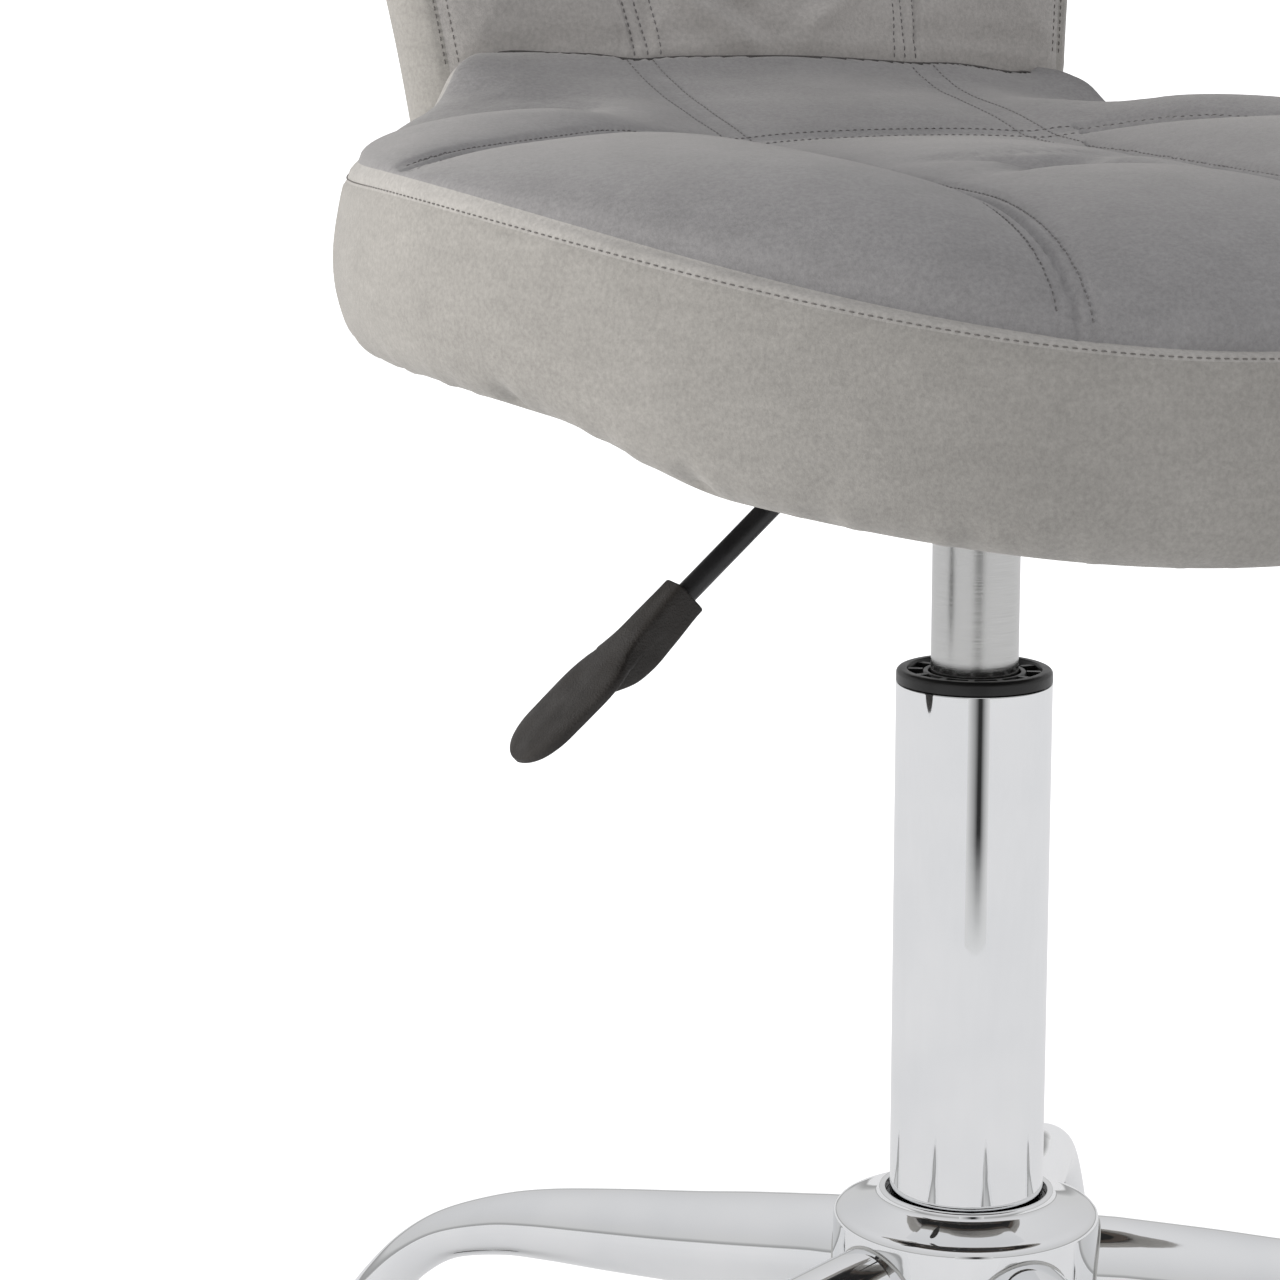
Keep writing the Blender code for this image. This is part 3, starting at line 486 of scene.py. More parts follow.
def make_hub():
    lip = HUB_RADIUS - 0.0149
    bore = TUBE_RADIUS + 0.0013
    turned("hub_shell", [
        (bore, HUB_TOP - 0.012, 0), (bore, HUB_TOP, 0.0008), (lip, HUB_TOP, 0.0008),
        (lip + 0.0003, HUB_TOP - 0.0024, 0.0012), (lip + 0.0075, HUB_TOP - 0.0055, 0.004),
        (HUB_RADIUS, HUB_TOP - 0.0072, 0.0026), (HUB_RADIUS, HUB_BOTTOM, 0.0020),
        (bore - 0.0005, HUB_BOTTOM, 0.0006), (bore - 0.0005, HUB_BOTTOM + 0.01, 0),
    ], CHROME, "base", ["hub"], 160)
    seal = bore - 0.0002
    turned("hub_seal", [
        (TUBE_RADIUS + 0.0001, HUB_TOP - 0.0030, 0), (seal, HUB_TOP - 0.0030, 0),
        (seal, HUB_TOP - 0.0115, 0), (TUBE_RADIUS + 0.0001, HUB_TOP - 0.0115, 0),
    ], COLLAR_PLASTIC, "base")


# Centreline of a leg as (distance from the column, height, tube radius)
LEG_STATIONS = (
    (0.0434, 0.1623, 0.0174), (0.080, 0.1573, 0.0168), (0.1055, 0.1540, 0.0158),
    (0.137, 0.1506, 0.0143), (0.164, 0.1475, 0.0125), (0.184, 0.1437, 0.0107),
    (0.206, 0.1363, 0.0090), (0.222, 0.1258, 0.0086), (0.235, 0.1124, 0.0087),
    (0.247, 0.0973, 0.0088), (0.2545, 0.0893, 0.0088), (0.2598, 0.0833, 0.0088),
    (0.2621, 0.0780, 0.0088), (0.2625, 0.0740, 0.0088), (0.2625, 0.0650, 0.0088),
)


def make_legs():
    """Swaged tubes: each starts on the hub's wall and ends in a plain vertical mouth."""
    sides = 56
    smooth = smooth_path(LEG_STATIONS, 7)
    path = [Vector((spot.x, 0, spot.y)) for spot in smooth]
    radii = [spot.z for spot in smooth]
    points = swept(path, radii, sides)
    wall = HUB_RADIUS + 0.00025
    for index in range(sides):
        spot = points[index]
        points[index] = Vector((math.sqrt(wall ** 2 - spot.y ** 2), spot.y, spot.z))
    rings = len(path)
    mouth = [path[-1] + (points[(rings - 1) * sides + side] - path[-1]) * 0.80
             for side in range(sides)]
    inside = [spot + Vector((0, 0, 0.012)) for spot in mouth]
    points += mouth + inside
    faces = ring_faces(rings + 2, sides)
    for number in LEGS:
        turn = Matrix.Rotation(leg_angle(number), 3, "Z")
        piece_from(f"leg_tube_{number}", [turn @ spot for spot in points], faces,
                   [CHROME], "base", [f"leg_{number}"], 50)
        make_weld(number, turn, wall)


def make_weld(number, turn, wall):
    """Dark brazed seam round the root of a leg."""
    sides, around = 8, 72
    _, height, radius = LEG_STATIONS[0]
    points = []
    for aside, aloft in circle(around):
        across, rise = aside * radius, aloft * radius
        centre = Vector((math.sqrt(wall ** 2 - across ** 2), across, height + rise))
        points += [turn @ spot for spot in ring(centre, BEAD_RADIUS, Vector((0, aside, aloft)),
                                                Vector((1, 0, 0)), sides)]
    piece_from(f"leg_seam_{number}", points, ring_faces(around, sides, closed=True), [ZINC],
               "base")


def make_column():
    inner = TUBE_RADIUS - 0.0015
    turned("outer_tube", [
        (inner, TUBE_TOP - 0.0005, 0), (TUBE_RADIUS, TUBE_TOP, 0.0006),
        (TUBE_RADIUS, TUBE_BOTTOM, 0.0006), (inner, TUBE_BOTTOM, 0),
    ], CHROME, "base", ["column_tube"], 160)
    low, high = heights("column_collar")
    hole = CYLINDER_RADIUS + 0.0008
    groove = TUBE_RADIUS - 0.0042
    turned("collar_ring", [
        (hole, low, 0), (hole, high - 0.0008, 0.0004), (groove - 0.0045, high - 0.0008, 0.0004),
        (groove - 0.0035, high - 0.0026, 0.0003), (groove, high - 0.0026, 0.0003),
        (groove + 0.0008, high, 0.0004), (TUBE_RADIUS - 0.0009, high, 0.0008),
        (TUBE_RADIUS, high - 0.0010, 0.0006), (TUBE_RADIUS, low, 0.0004),
    ], COLLAR_PLASTIC, "base", ["column_collar"], 128)
    make_collar_ribs(groove, high)
    low, high = heights("gas_cylinder")
    turned("inner_cylinder", [
        (0.0033, high - 0.010, 0), (0.0033, high, 0.0003),
        (CYLINDER_RADIUS - 0.0007, high, 0.0008), (CYLINDER_RADIUS, high - 0.040, 0.004),
        (CYLINDER_RADIUS, low, 0.0010), (0.0053, low, 0.0004), (0.0053, low + 0.008, 0),
    ], GROUND_STEEL, "seat", ["gas_cylinder"], 128)


def make_collar_ribs(groove, top):
    """Small moulded ribs that bridge the collar's ring groove."""
    count, half = 12, math.radians(3.2)
    inner, outer = groove - 0.0042, groove + 0.0004
    corners, faces = [], []
    for rib in range(count):
        angle = math.tau * rib / count
        for level in (top - 0.0028, top - 0.0007):
            for radius, side in ((inner, -1), (outer, -1), (outer, 1), (inner, 1)):
                turn = angle + side * half
                corners.append((radius * math.cos(turn), radius * math.sin(turn), level))
        base = rib * 8
        faces += [(base + 4, base + 5, base + 6, base + 7), (base + 3, base + 2, base + 1, base)]
        faces += [(base + side, base + (side + 1) % 4, base + 4 + (side + 1) % 4, base + 4 + side)
                  for side in range(4)]
    piece_from("collar_ribs", corners, faces, [COLLAR_PLASTIC], "base",
               smooth_angle=30)


# Castors -----------------------------------------------------------------------------------
WHEEL_GAP = 0.0003          # between a wheel and the castor's middle web


def cylinder_between(name, radius, start, end, sides=48):
    """A plain closed cylinder, used only to cut or join castor shapes."""
    start, end = Vector(start), Vector(end)
    cage = bmesh.new()
    bmesh.ops.create_cone(cage, cap_ends=True, segments=sides, radius1=radius,
                          radius2=radius, depth=(end - start).length)
    turn = (end - start).to_track_quat("Z", "Y").to_matrix().to_4x4()
    bmesh.ops.transform(cage, matrix=Matrix.Translation((start + end) / 2) @ turn,
                        verts=cage.verts)
    return placed(name, mesh_of_cage(name, cage))


def evaluated_mesh(made):
    """A mesh of the object as its modifiers leave it."""
    bpy.context.view_layer.update()
    graph = bpy.context.evaluated_depsgraph_get()
    return bpy.data.meshes.new_from_object(made.evaluated_get(graph))


def joined(base, *steps):
    """Applies boolean steps (operation, other) and a soft edge, and returns the mesh."""
    for operation, other in steps:
        cut = base.modifiers.new("step", "BOOLEAN")
        cut.operation = operation
        cut.object = other
        cut.solver = "EXACT"
    soften(base, 0.0006, 50)
    mesh = evaluated_mesh(base)
    for used in [base] + [other for _, other in steps]:
        bpy.data.objects.remove(used, do_unlink=True)
    return mesh


def hood_mesh(trail, wheel_radius, web_half, half_width, top):
    """Wheel cover, middle web, stem boss and axle of a castor, as one moulding."""
    hub = Vector((trail, 0, wheel_radius))
    reach = Vector((0, half_width, 0))
    cover = cylinder_between("cover", 0.0300, hub - reach, hub + reach, 72)
    hollow = cylinder_between("hollow", 0.0270, hub - 2 * reach, hub + 2 * reach, 72)
    cage = bmesh.new()
    bmesh.ops.create_cube(cage, size=1.0)
    bmesh.ops.transform(cage, matrix=Matrix.Translation((trail, 0, 0.0040))
                        @ Matrix.Diagonal((0.14, 0.1, 0.060, 1)), verts=cage.verts)
    lower = placed("lower", mesh_of_cage("below", cage))
    side = Vector((0, web_half, 0))
    web = cylinder_between("web", 0.0225, hub - side, hub + side)
    boss = cylinder_between("boss", web_half - 0.0002, (0, 0, 0.036), (0, 0, top))
    neck = cylinder_between("neck", web_half - 0.0006, (0.001, 0, 0.0425), (0.016, 0, 0.0425))
    axle = cylinder_between("axle", 0.0040, hub - reach * 0.93, hub + reach * 0.93, 24)
    hole = cylinder_between("hole", 0.0056, (0, 0, 0.045), (0, 0, 0.08), 32)
    return joined(cover, ("DIFFERENCE", hollow), ("DIFFERENCE", lower), ("UNION", web),
                  ("UNION", neck), ("UNION", boss), ("UNION", axle), ("DIFFERENCE", hole))


def wheel_mesh(radius, width):
    """A castor wheel about Z: rounded tread, dished face with a raised hub cap."""
    bore = 0.0043
    return lathe_mesh("castor_wheel", [
        (bore, 0.0006, 0), (bore, width - 0.0018, 0.0004), (0.0085, width - 0.0018, 0.0006),
        (0.0095, width - 0.0034, 0.0006), (0.0165, width - 0.0034, 0.0010),
        (0.0185, width - 0.0006, 0.0010), (radius - 0.0035, width, 0.0012),
        (radius, width - 0.0035, 0.0022), (radius, 0.0024, 0.0016),
        (radius - 0.0020, 0.0001, 0.0010), (bore, 0.0001, 0.0004),
    ], NYLON, 96)


def make_castors():
    """Five castors: ferrule in the leg, stem, hood and two wheels."""
    low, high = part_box("castor_hood_1")
    swivel = JOINTS["castor_swivel_1"]["pos_m"]
    axle = JOINTS["wheel_roll_left_1"]["pos_m"]
    trail = math.hypot(axle[0] - swivel[0], axle[1] - swivel[1])
    wheel_low, wheel_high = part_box("castor_wheel_left_1")
    width = wheel_high.x - wheel_low.x
    web_half = min(abs(wheel_low.x), abs(wheel_high.x)) - WHEEL_GAP
    half_width = (high.x - low.x) / 2
    hood = finished(hood_mesh(trail, axle[2], web_half, half_width, high.z), NYLON)
    wheel = wheel_mesh(axle[2], width)
    socket_low, socket_high = heights("castor_socket_1")
    stem_low, stem_high = heights("castor_stem_1")
    ferrule = lathe_mesh("ferrule", [
        (0.0058, socket_low, 0), (0.0097, socket_low, 0.0008), (0.0100, 0.0647, 0.0006),
        (0.0088, 0.0650, 0.0002), (0.0063, 0.0650, 0), (0.0063, socket_high, 0.0004),
        (0.0058, socket_high, 0),
    ], CHROME, 64)
    stem = lathe_mesh("stem", [
        (0, stem_high, 0), (0.0045, stem_high, 0.0004), (0.0055, stem_high - 0.001, 0.0004),
        (0.0055, 0.0608, 0.0002), (0.0086, 0.0608, 0.0005), (0.0086, 0.0584, 0.0005),
        (0.0055, 0.0584, 0.0002), (0.0055, stem_low, 0.0004), (0, stem_low, 0),
    ], ZINC, 48)
    for number in LEGS:
        spot = Vector(JOINTS[f"castor_swivel_{number}"]["pos_m"])
        behind = Vector(JOINTS[f"wheel_roll_left_{number}"]["pos_m"]) - spot
        angle = math.atan2(behind.y, behind.x)
        place = Matrix.Translation((spot.x, spot.y, 0)) @ Matrix.Rotation(angle, 4, "Z")
        body = f"castor_{number}"
        parts = [("castor_ferrule", ferrule, "base", "zinc", f"castor_socket_{number}"),
                 ("castor_pin", stem, body, "zinc", f"castor_stem_{number}"),
                 ("castor_cover", hood, body, "castor_nylon", f"castor_hood_{number}")]
        for label, shape, rides_on, slot, node in parts:
            mesh = shape.copy()
            mesh.transform(place)
            piece_of(f"{label}_{number}", mesh, rides_on, [node], 35)
        for side, sign in (("left", 1), ("right", -1)):
            mesh = wheel.copy()
            roll = Matrix.Rotation(-sign * math.pi / 2, 4, "X")
            beside = Matrix.Translation((trail, sign * (web_half + WHEEL_GAP), axle[2]))
            mesh.transform(place @ beside @ roll)
            piece_of(f"castor_roller_{side}_{number}", mesh, f"wheel_{side}_{number}",
                     [f"castor_wheel_{side}_{number}"], 35)


# Height lever ------------------------------------------------------------------------------
LEVER_SLOPE = math.radians(42)
LEVER_BEND_X = -0.0295
GRIP_START_X = -0.100
LEVER_RADIUS = 0.0035
PIVOT = Vector(JOINTS["lever_pull"]["pos_m"])


def lever_line(x):
    """The rod's axis below its bend."""
    return Vector((x, 0, PIVOT.z + (x - LEVER_BEND_X) * math.tan(LEVER_SLOPE)))


def make_lever_rod():
    """Round bar with a raised inner tip, a soft bend and a pierced eye at its pivot."""
    bend, level = 0.0055, PIVOT.z
    path = smooth_path([(0.0098, 0, level + 0.0034), (0.0, 0, level + 0.0006),
                        (-0.012, 0, level), (LEVER_BEND_X + bend, 0, level),
                        (LEVER_BEND_X + 0.0008, 0, level - 0.0010),
                        lever_line(LEVER_BEND_X - bend * 0.75), lever_line(-0.070),
                        lever_line(GRIP_START_X - 0.015)], 6)
    sides = 32
    points = swept(path, [LEVER_RADIUS] * len(path), sides)
    bar = mesh_from("bar", points, tube_faces(len(path), sides))
    face_out(bar)
    half = Vector((0, 0.006, 0))
    eye = cylinder_between("eye", 0.006, PIVOT - half, PIVOT + half)
    bore = cylinder_between("bore", 0.0028, PIVOT - 3 * half, PIVOT + 3 * half)
    mesh = joined(placed("bar", bar), ("UNION", eye), ("DIFFERENCE", bore))
    piece_of("lever_bar", finished(mesh, BLACK_COAT), "lever", ["lever_rod"], 40)


# The grip is a flat paddle on a square block: sections along the rod, as (distance from the
# top end, half width, height above the rod's axis, depth below it)
PADDLE = np.array((
    (0.0000, 0.0064, 0.0060, 0.0040), (0.0140, 0.0078, 0.0056, 0.0030),
    (0.0225, 0.0088, 0.0052, 0.0012), (0.0290, 0.0114, 0.0049, 0.0006),
    (0.0350, 0.0150, 0.0046, 0.0003), (0.0410, 0.0165, 0.0045, 0.0002),
    (0.0500, 0.0166, 0.0045, 0.0002), (0.0575, 0.0162, 0.0046, 0.0003),
))
PADDLE_TIP = 0.0734
BLOCK = np.array((
    (0.0000, 0.0064, 0.0060, 0.0060), (0.0140, 0.0076, 0.0054, 0.0068),
    (0.0250, 0.0080, 0.0048, 0.0073), (0.0310, 0.0080, 0.0042, 0.0064),
    (0.0380, 0.0074, 0.0034, 0.0032), (0.0430, 0.0060, 0.0026, 0.0008),
    (0.0470, 0.0040, 0.0020, -0.0006),
))
GRIP_EDGE = 0.0007          # rounding of the block's and the paddle's edges


def section_at(sections, distance):
    """Half width, height and depth at a distance from the grip's top end."""
    return [float(curve_through(sections[:, (0, column)])(distance)) for column in (1, 2, 3)]


def grip_reach(section, middle, side, rise, power):
    """Distances from the middle height to a section's outline along given directions."""
    half_width, height, depth = section
    centre, half = (height - depth) / 2, (height + depth) / 2
    low, high = np.zeros_like(side), np.full_like(side, 0.05)
    for _ in range(40):
        reach = (low + high) / 2
        inside = (np.abs(side * reach / half_width) ** power
                  + np.abs((middle + rise * reach - centre) / half) ** power) < 1
        low, high = np.where(inside, reach, low), np.where(inside, high, reach)
    return low


def make_grip():
    """One moulding: its rings take the outer of the paddle's and the block's outlines."""
    start = lever_line(GRIP_START_X)
    along = Vector((-math.cos(LEVER_SLOPE), 0, -math.sin(LEVER_SLOPE)))
    across = Vector((0, 1, 0))
    up = Vector((-math.sin(LEVER_SLOPE), 0, math.cos(LEVER_SLOPE)))
    sides = 160
    angle = math.tau * (np.arange(sides) + 0.5) / sides
    side, rise = np.cos(angle), np.sin(angle)
    round_end = float(PADDLE[-1][0])
    tip_run = PADDLE_TIP - round_end
    distances = [GRIP_EDGE * (1 - math.cos(k * math.pi / 10)) for k in range(5)]
    distances += list(np.linspace(GRIP_EDGE, round_end, 70))
    distances += [round_end + tip_run * math.sin(k * math.pi / 60) for k in range(1, 31)]
    points = []
    for distance in distances:
        paddle = section_at(PADDLE, min(distance, round_end))
        block = section_at(BLOCK, min(distance, BLOCK[-1][0]))
        middle = (paddle[1] - paddle[2]) / 2
        over = max(distance - round_end, 0) / tip_run
        if over > 0:
            paddle[0] *= math.sqrt(max(1 - over ** 2, 0.0004))
            thin = 1 - 0.62 * over ** 5
            paddle[1] = middle + (paddle[1] - middle) * thin
            paddle[2] = (paddle[2] + middle) * thin - middle
        reach = grip_reach(paddle, middle, side, rise, 3.6 + 1.6 * (distance < 0.03))
        if distance < BLOCK[-1][0]:
            reach = np.maximum(reach, grip_reach(block, middle, side, rise, 6))
        back = max(0.0, 1 - distance / GRIP_EDGE)
        reach = reach - GRIP_EDGE * (1 - math.sqrt(1 - back ** 2))
        for s, r, reached in zip(side, rise, reach):
            points.append(start + along * distance + across * (s * reached)
                          + up * (middle + r * reached))
    piece_from("grip_paddle", points, tube_faces(len(distances), sides), [GRIP_PLASTIC],
               "lever", ["lever_grip"], 50)


# Upholstery: shape functions ---------------------------------------------------------------
def ease(value, low, high):
    """Smooth step from 0 at low to 1 at high."""
    t = np.clip((value - low) / (high - low), 0.0, 1.0)
    return t * t * (3 - 2 * t)


def curve_through(knots):
    """A smooth function through (place, value) knots, level beyond its ends."""
    at, value = np.array(knots, float).T
    slope = np.gradient(value, at)
    slope[0] = slope[-1] = 0.0

    def read(place):
        spot = np.clip(place, at[0], at[-1])
        first = np.clip(np.searchsorted(at, spot, "right") - 1, 0, len(at) - 2)
        run = at[first + 1] - at[first]
        t = (spot - at[first]) / run
        return ((2 * t ** 3 - 3 * t ** 2 + 1) * value[first]
                + (t ** 3 - 2 * t ** 2 + t) * run * slope[first]
                + (3 * t ** 2 - 2 * t ** 3) * value[first + 1]
                + (t ** 3 - t ** 2) * run * slope[first + 1])
    return read


# Height of the top's edge seam behind the seat's widest place, by degrees from the front:
# its corners sweep up to the back
REAR_EDGE = curve_through((
    (80, 0.5275), (92, 0.5275), (101, 0.5268), (110, 0.5260), (120, 0.5272), (130, 0.5305),
    (135, 0.5328), (138, 0.5368), (140, 0.5428), (142, 0.5495), (144, 0.5525), (150, 0.5530),
))


def edge_height(angle):
    """Height of the seam round the seat's top; angle in degrees from the front."""
    rise = np.sin(np.radians(np.minimum(angle, 90))) ** 2
    ahead = EDGE_FRONT + (EDGE_SIDE - EDGE_FRONT) * rise
    return np.where(angle > 90, REAR_EDGE(angle), ahead)


def edge_inset(angle):
    """How far the seam lies inside the seat's widest outline."""
    return 0.0062 - 0.0016 * ease(angle, 40, 80) + 0.0030 * ease(angle, 80, 108)


def stitch_height(angle):
    """Height of the topstitched line that runs below the seam."""
    return edge_height(angle) - 0.0016 - 0.0034 * np.sin(np.radians(np.minimum(angle, 90))) ** 2


def skirt_height(angle):
    """Height of the side band's lower edge, with the kink where the front turns."""
    flat = np.sin(np.radians(np.minimum(angle, 90))) ** 2
    front = SKIRT_FRONT + (SKIRT_SIDE - SKIRT_FRONT - SKIRT_RISE) * flat
    return (front + SKIRT_RISE * ease(angle, 47, 66)
            + (SKIRT_REAR - SKIRT_SIDE) * ease(angle, 135, 156))


# Height of the seat along its fore-and-aft seams, by Y
ALONG_SEAM = curve_through((
    (-0.200, 0.5165), (-0.150, 0.5215), (-0.118, 0.5235), (-0.060, 0.5240), (0.000, 0.5250),
    (0.060, 0.5268), (0.086, 0.5312), (0.112, 0.5368), (0.128, 0.5410), (0.142, 0.5456),
    (0.156, 0.5515), (0.164, 0.5535),
))
# Y of the seam across the seat, by distance from its middle
ACROSS_SEAT = curve_through((
    (0.0, 0.070), (0.0535, 0.066), (0.094, 0.052), (0.124, 0.035), (0.160, 0.012),
    (0.200, -0.012),
))


def chord_y(x):
    """Y of the line along which the seat's top meets the back."""
    return CHORD_Y + CHORD_BOW * (x / CHORD_HALF) ** 2


def seam_line_x(y):
    """Distance from the middle of the two fore-and-aft seams at y."""
    return SEAM_X + 0.0115 * (np.maximum(-0.100 - y, 0) / 0.085) ** 1.5


def lateral_line_y(x):
    """Y of the seam that runs across the seat."""
    return ACROSS_SEAT(np.abs(x))


RISE_TABLE = np.linspace(-0.12, 0.30, 841)      # distances up the back, from the seat's top


def back_lean(rise):
    """How far the back leans to the rear, as an angle; it is upright below the seat."""
    below = LEAN_FOOT * np.maximum(0.0, 1 + rise / LEAN_RUN)
    above = LEAN_FOOT + (LEAN_TOP - LEAN_FOOT) * np.minimum(rise / BACK_HEIGHT, 1.0)
    return np.where(rise < 0, below, above)


def back_tables():
    """Y and Z of the back board's front face for each distance in RISE_TABLE."""
    lean = back_lean(RISE_TABLE)
    step = RISE_TABLE[1] - RISE_TABLE[0]
    y = np.concatenate([[0], np.cumsum((np.sin(lean[1:]) + np.sin(lean[:-1])) / 2 * step)])
    z = np.concatenate([[0], np.cumsum((np.cos(lean[1:]) + np.cos(lean[:-1])) / 2 * step)])
    foot_y, foot_z = np.interp(0, RISE_TABLE, y), np.interp(0, RISE_TABLE, z)
    return y - foot_y + BACK_FOOT_Y, z - foot_z + BACK_FOOT_Z


BACK_Y, BACK_Z = back_tables()


def back_points(x, rise, depth):
    """Points of the back, depth behind its board's front face, as an array of rows."""
    lean = back_lean(rise)
    side = np.clip(x / BACK_CURVE, -0.95, 0.95)
    ahead = np.sqrt(1 - side ** 2)
    y = np.interp(rise, RISE_TABLE, BACK_Y) - BACK_CURVE * (1 - ahead)
    z = np.interp(rise, RISE_TABLE, BACK_Z)
    normal = np.stack([side * np.cos(lean), ahead * np.cos(lean), -np.sin(lean)], axis=-1)
    return np.stack([x, y, z], axis=-1) + normal * np.asarray(depth)[..., None]


def pad_depth(x, rise):
    """How far in front of the board the pad's face is: thick at its foot, thin above."""
    rest = PAD_EDGE + PAD_CROWN * np.maximum(0, 1 - (x / back_half_width(rise)) ** 2)
    board = BACK_FOOT_Y - BACK_CURVE * (1 - np.sqrt(1 - (x / BACK_CURVE) ** 2))
    foot = (board - chord_y(x)) / math.cos(LEAN_FOOT)
    return rest + (foot - rest) * np.exp(-np.maximum(rise, 0) / PAD_FADE)


def pad_points(x, rise, raised):
    """Points of the pad's face, raised forwards; upright below the seat's top."""
    spots = back_points(x, rise, -pad_depth(x, rise) - raised)
    upright = chord_y(x) - raised
    spots[..., 1] = np.where(rise < 0, upright, spots[..., 1])
    return spots


def back_face_y(x, z):
    """Y of the pad's face above a point of the plan."""
    rise = np.interp(z, BACK_Z, RISE_TABLE)
    for _ in range(3):
        rise = rise + z - pad_points(x, rise, 0.0 * x)[..., 2]
    return pad_points(x, rise, 0.0 * x)[..., 1]


def back_half_width(rise):
    return BACK_HALF_WIDTH + BACK_FLARE * rise + BACK_SPREAD * np.maximum(rise, 0) ** 2


def bell(distance, width):
    """1 at no distance, falling away smoothly over the width."""
    return np.exp(-(distance / width) ** 2)


def seam_relief(distance):
    """Depth of a topstitched seam: a crease with a stitched line on each side."""
    stitched = bell(np.abs(distance) - TOPSTITCH, 0.0012) * 0.0009
    pad = bell(distance, TOPSTITCH * 1.5) * 0.0006
    return bell(distance, 0.0011) * 0.0016 + stitched + pad


# Upholstery: cloth simulation --------------------------------------------------------------
CLOTH_PRESSURE = 9.0
CLOTH_VOXEL = 0.006         # size of the even mesh that is simulated
CLOTH_FRAMES = 20
SWELL_LIMIT = 0.0018        # the farthest that a point moves


def puffed(piece, held):
    """Swells a copy of the piece as cloth and moves the piece's points with it.

    held takes an array of points and gives how firmly each is sewn down, 0 to 1.
    """
    scene = bpy.context.scene
    copy = piece.copy()
    copy.data = piece.data.copy()
    copy.parent = None
    scene.collection.objects.link(copy)
    remesh = copy.modifiers.new("even", "REMESH")
    remesh.mode = "VOXEL"
    remesh.voxel_size = CLOTH_VOXEL
    even = evaluated_mesh(copy)
    copy.modifiers.clear()
    copy.data = even
    start = points_of(even)
    pins = copy.vertex_groups.new(name="sewn")
    for index, weight in enumerate(held(start)):
        if weight > 0.01:
            pins.add([index], float(weight), "REPLACE")
    cloth = copy.modifiers.new("cloth", "CLOTH")
    cloth.settings.quality = 6
    cloth.settings.mass = 0.25
    cloth.settings.tension_stiffness = 10
    cloth.settings.compression_stiffness = 10
    cloth.settings.bending_stiffness = 0.6
    cloth.settings.use_pressure = True
    cloth.settings.uniform_pressure_force = CLOTH_PRESSURE
    cloth.settings.vertex_group_mass = "sewn"
    cloth.settings.pin_stiffness = 1.0
    cloth.settings.effector_weights.gravity = 0
    cloth.collision_settings.use_collision = False
    cloth.point_cache.frame_start = 1
    cloth.point_cache.frame_end = CLOTH_FRAMES
    for number in range(1, CLOTH_FRAMES + 1):
        scene.frame_set(number)
    moved = points_of(evaluated_mesh(copy)) - start
    scene.frame_set(1)
    bpy.data.objects.remove(copy, do_unlink=True)
    length = np.linalg.norm(moved, axis=1)
    capped = SWELL_LIMIT * np.tanh(length / SWELL_LIMIT)
    moved *= (capped / np.maximum(length, 1e-9))[:, None]
    tree = KDTree(len(start))
    for index, spot in enumerate(start):
        tree.insert(spot, index)
    tree.balance()
    points = points_of(piece.data)
    shift = np.zeros_like(points)
    for index, spot in enumerate(points):
        total = 0.0
        for _, near, distance in tree.find_n(spot, 6):
            weight = 1.0 / (distance + 0.001) ** 2
            shift[index] += moved[near] * weight
            total += weight
        shift[index] /= total
    set_points(piece.data, points + shift)


def points_of(mesh, field="co"):
    flat = np.empty(len(mesh.vertices) * 3, np.float64)
    mesh.vertices.foreach_get(field, flat)
    return flat.reshape(-1, 3)


def set_points(mesh, points):
    mesh.vertices.foreach_set("co", points.astype(np.float32).ravel())
    mesh.update()


def shape_cover(piece, held, relief):
    puffed(piece, held)
    set_points(piece.data, relief(points_of(piece.data), points_of(piece.data, "normal")))


# Seat --------------------------------------------------------------------------------------
SEAT_SIDES = 720
TOP_RINGS, BAND_RINGS = 110, 46


def seat_crown(x, y):
    """Height of the seat's top away from its edge, with its quilted valleys."""
    out = np.abs(x)
    outer = ease(out, 0.070, 0.110)
    valley = ALONG_SEAM(y) - 0.0068 * bell(y - 0.102, 0.021) * outer
    side = 0.0085 * ease(out, 0.045, 0.115) * (1 - ease(y, 0.055, 0.125))
    settled = 0.0090 * ease(x, -0.01, 0.115) * ease(y, 0.085, 0.150)
    long_seam, lateral = out - seam_line_x(y), y - lateral_line_y(x)
    reach = np.where(lateral < 0, 0.021 + 0.032 * outer, 0.021 - 0.006 * outer)
    puff = (1 - np.exp(-np.abs(long_seam) / 0.021)) * (1 - np.exp(-np.abs(lateral) / reach))
    puff = QUILT * puff * (1 - 0.8 * ease(y, 0.085, 0.150)) * (1 - 0.35 * ease(-y, 0.10, 0.17))
    from_tuft = np.hypot(x, y - TUFT_Y)
    tuft = 0.0062 * np.exp(-(from_tuft / 0.017) ** 1.4)
    slant = np.abs(out * 0.57 - np.abs(y - TUFT_Y) * 0.82)
    folds = 0.0030 * bell(slant, 0.0085) * ease(0.062 - from_tuft, 0.0, 0.05)
    return valley + side + puff - settled - np.where(out < 0.06, tuft + folds, tuft)


def seat_top(share, angle):
    """Radius and height of the seat's top at a share of its radius, by signed degrees."""
    off, turn = np.abs(angle), np.radians(angle)
    edge = edge_height(off)
    radius = share * (SEAT_RADIUS - edge_inset(off))
    crown = seat_crown(np.sin(turn) * radius, -np.cos(turn) * radius)
    power = 5 + 3 * ease(off, 100, 140)
    return radius, edge + (crown - edge) * np.sqrt(np.maximum(0.0, 1 - share ** power))


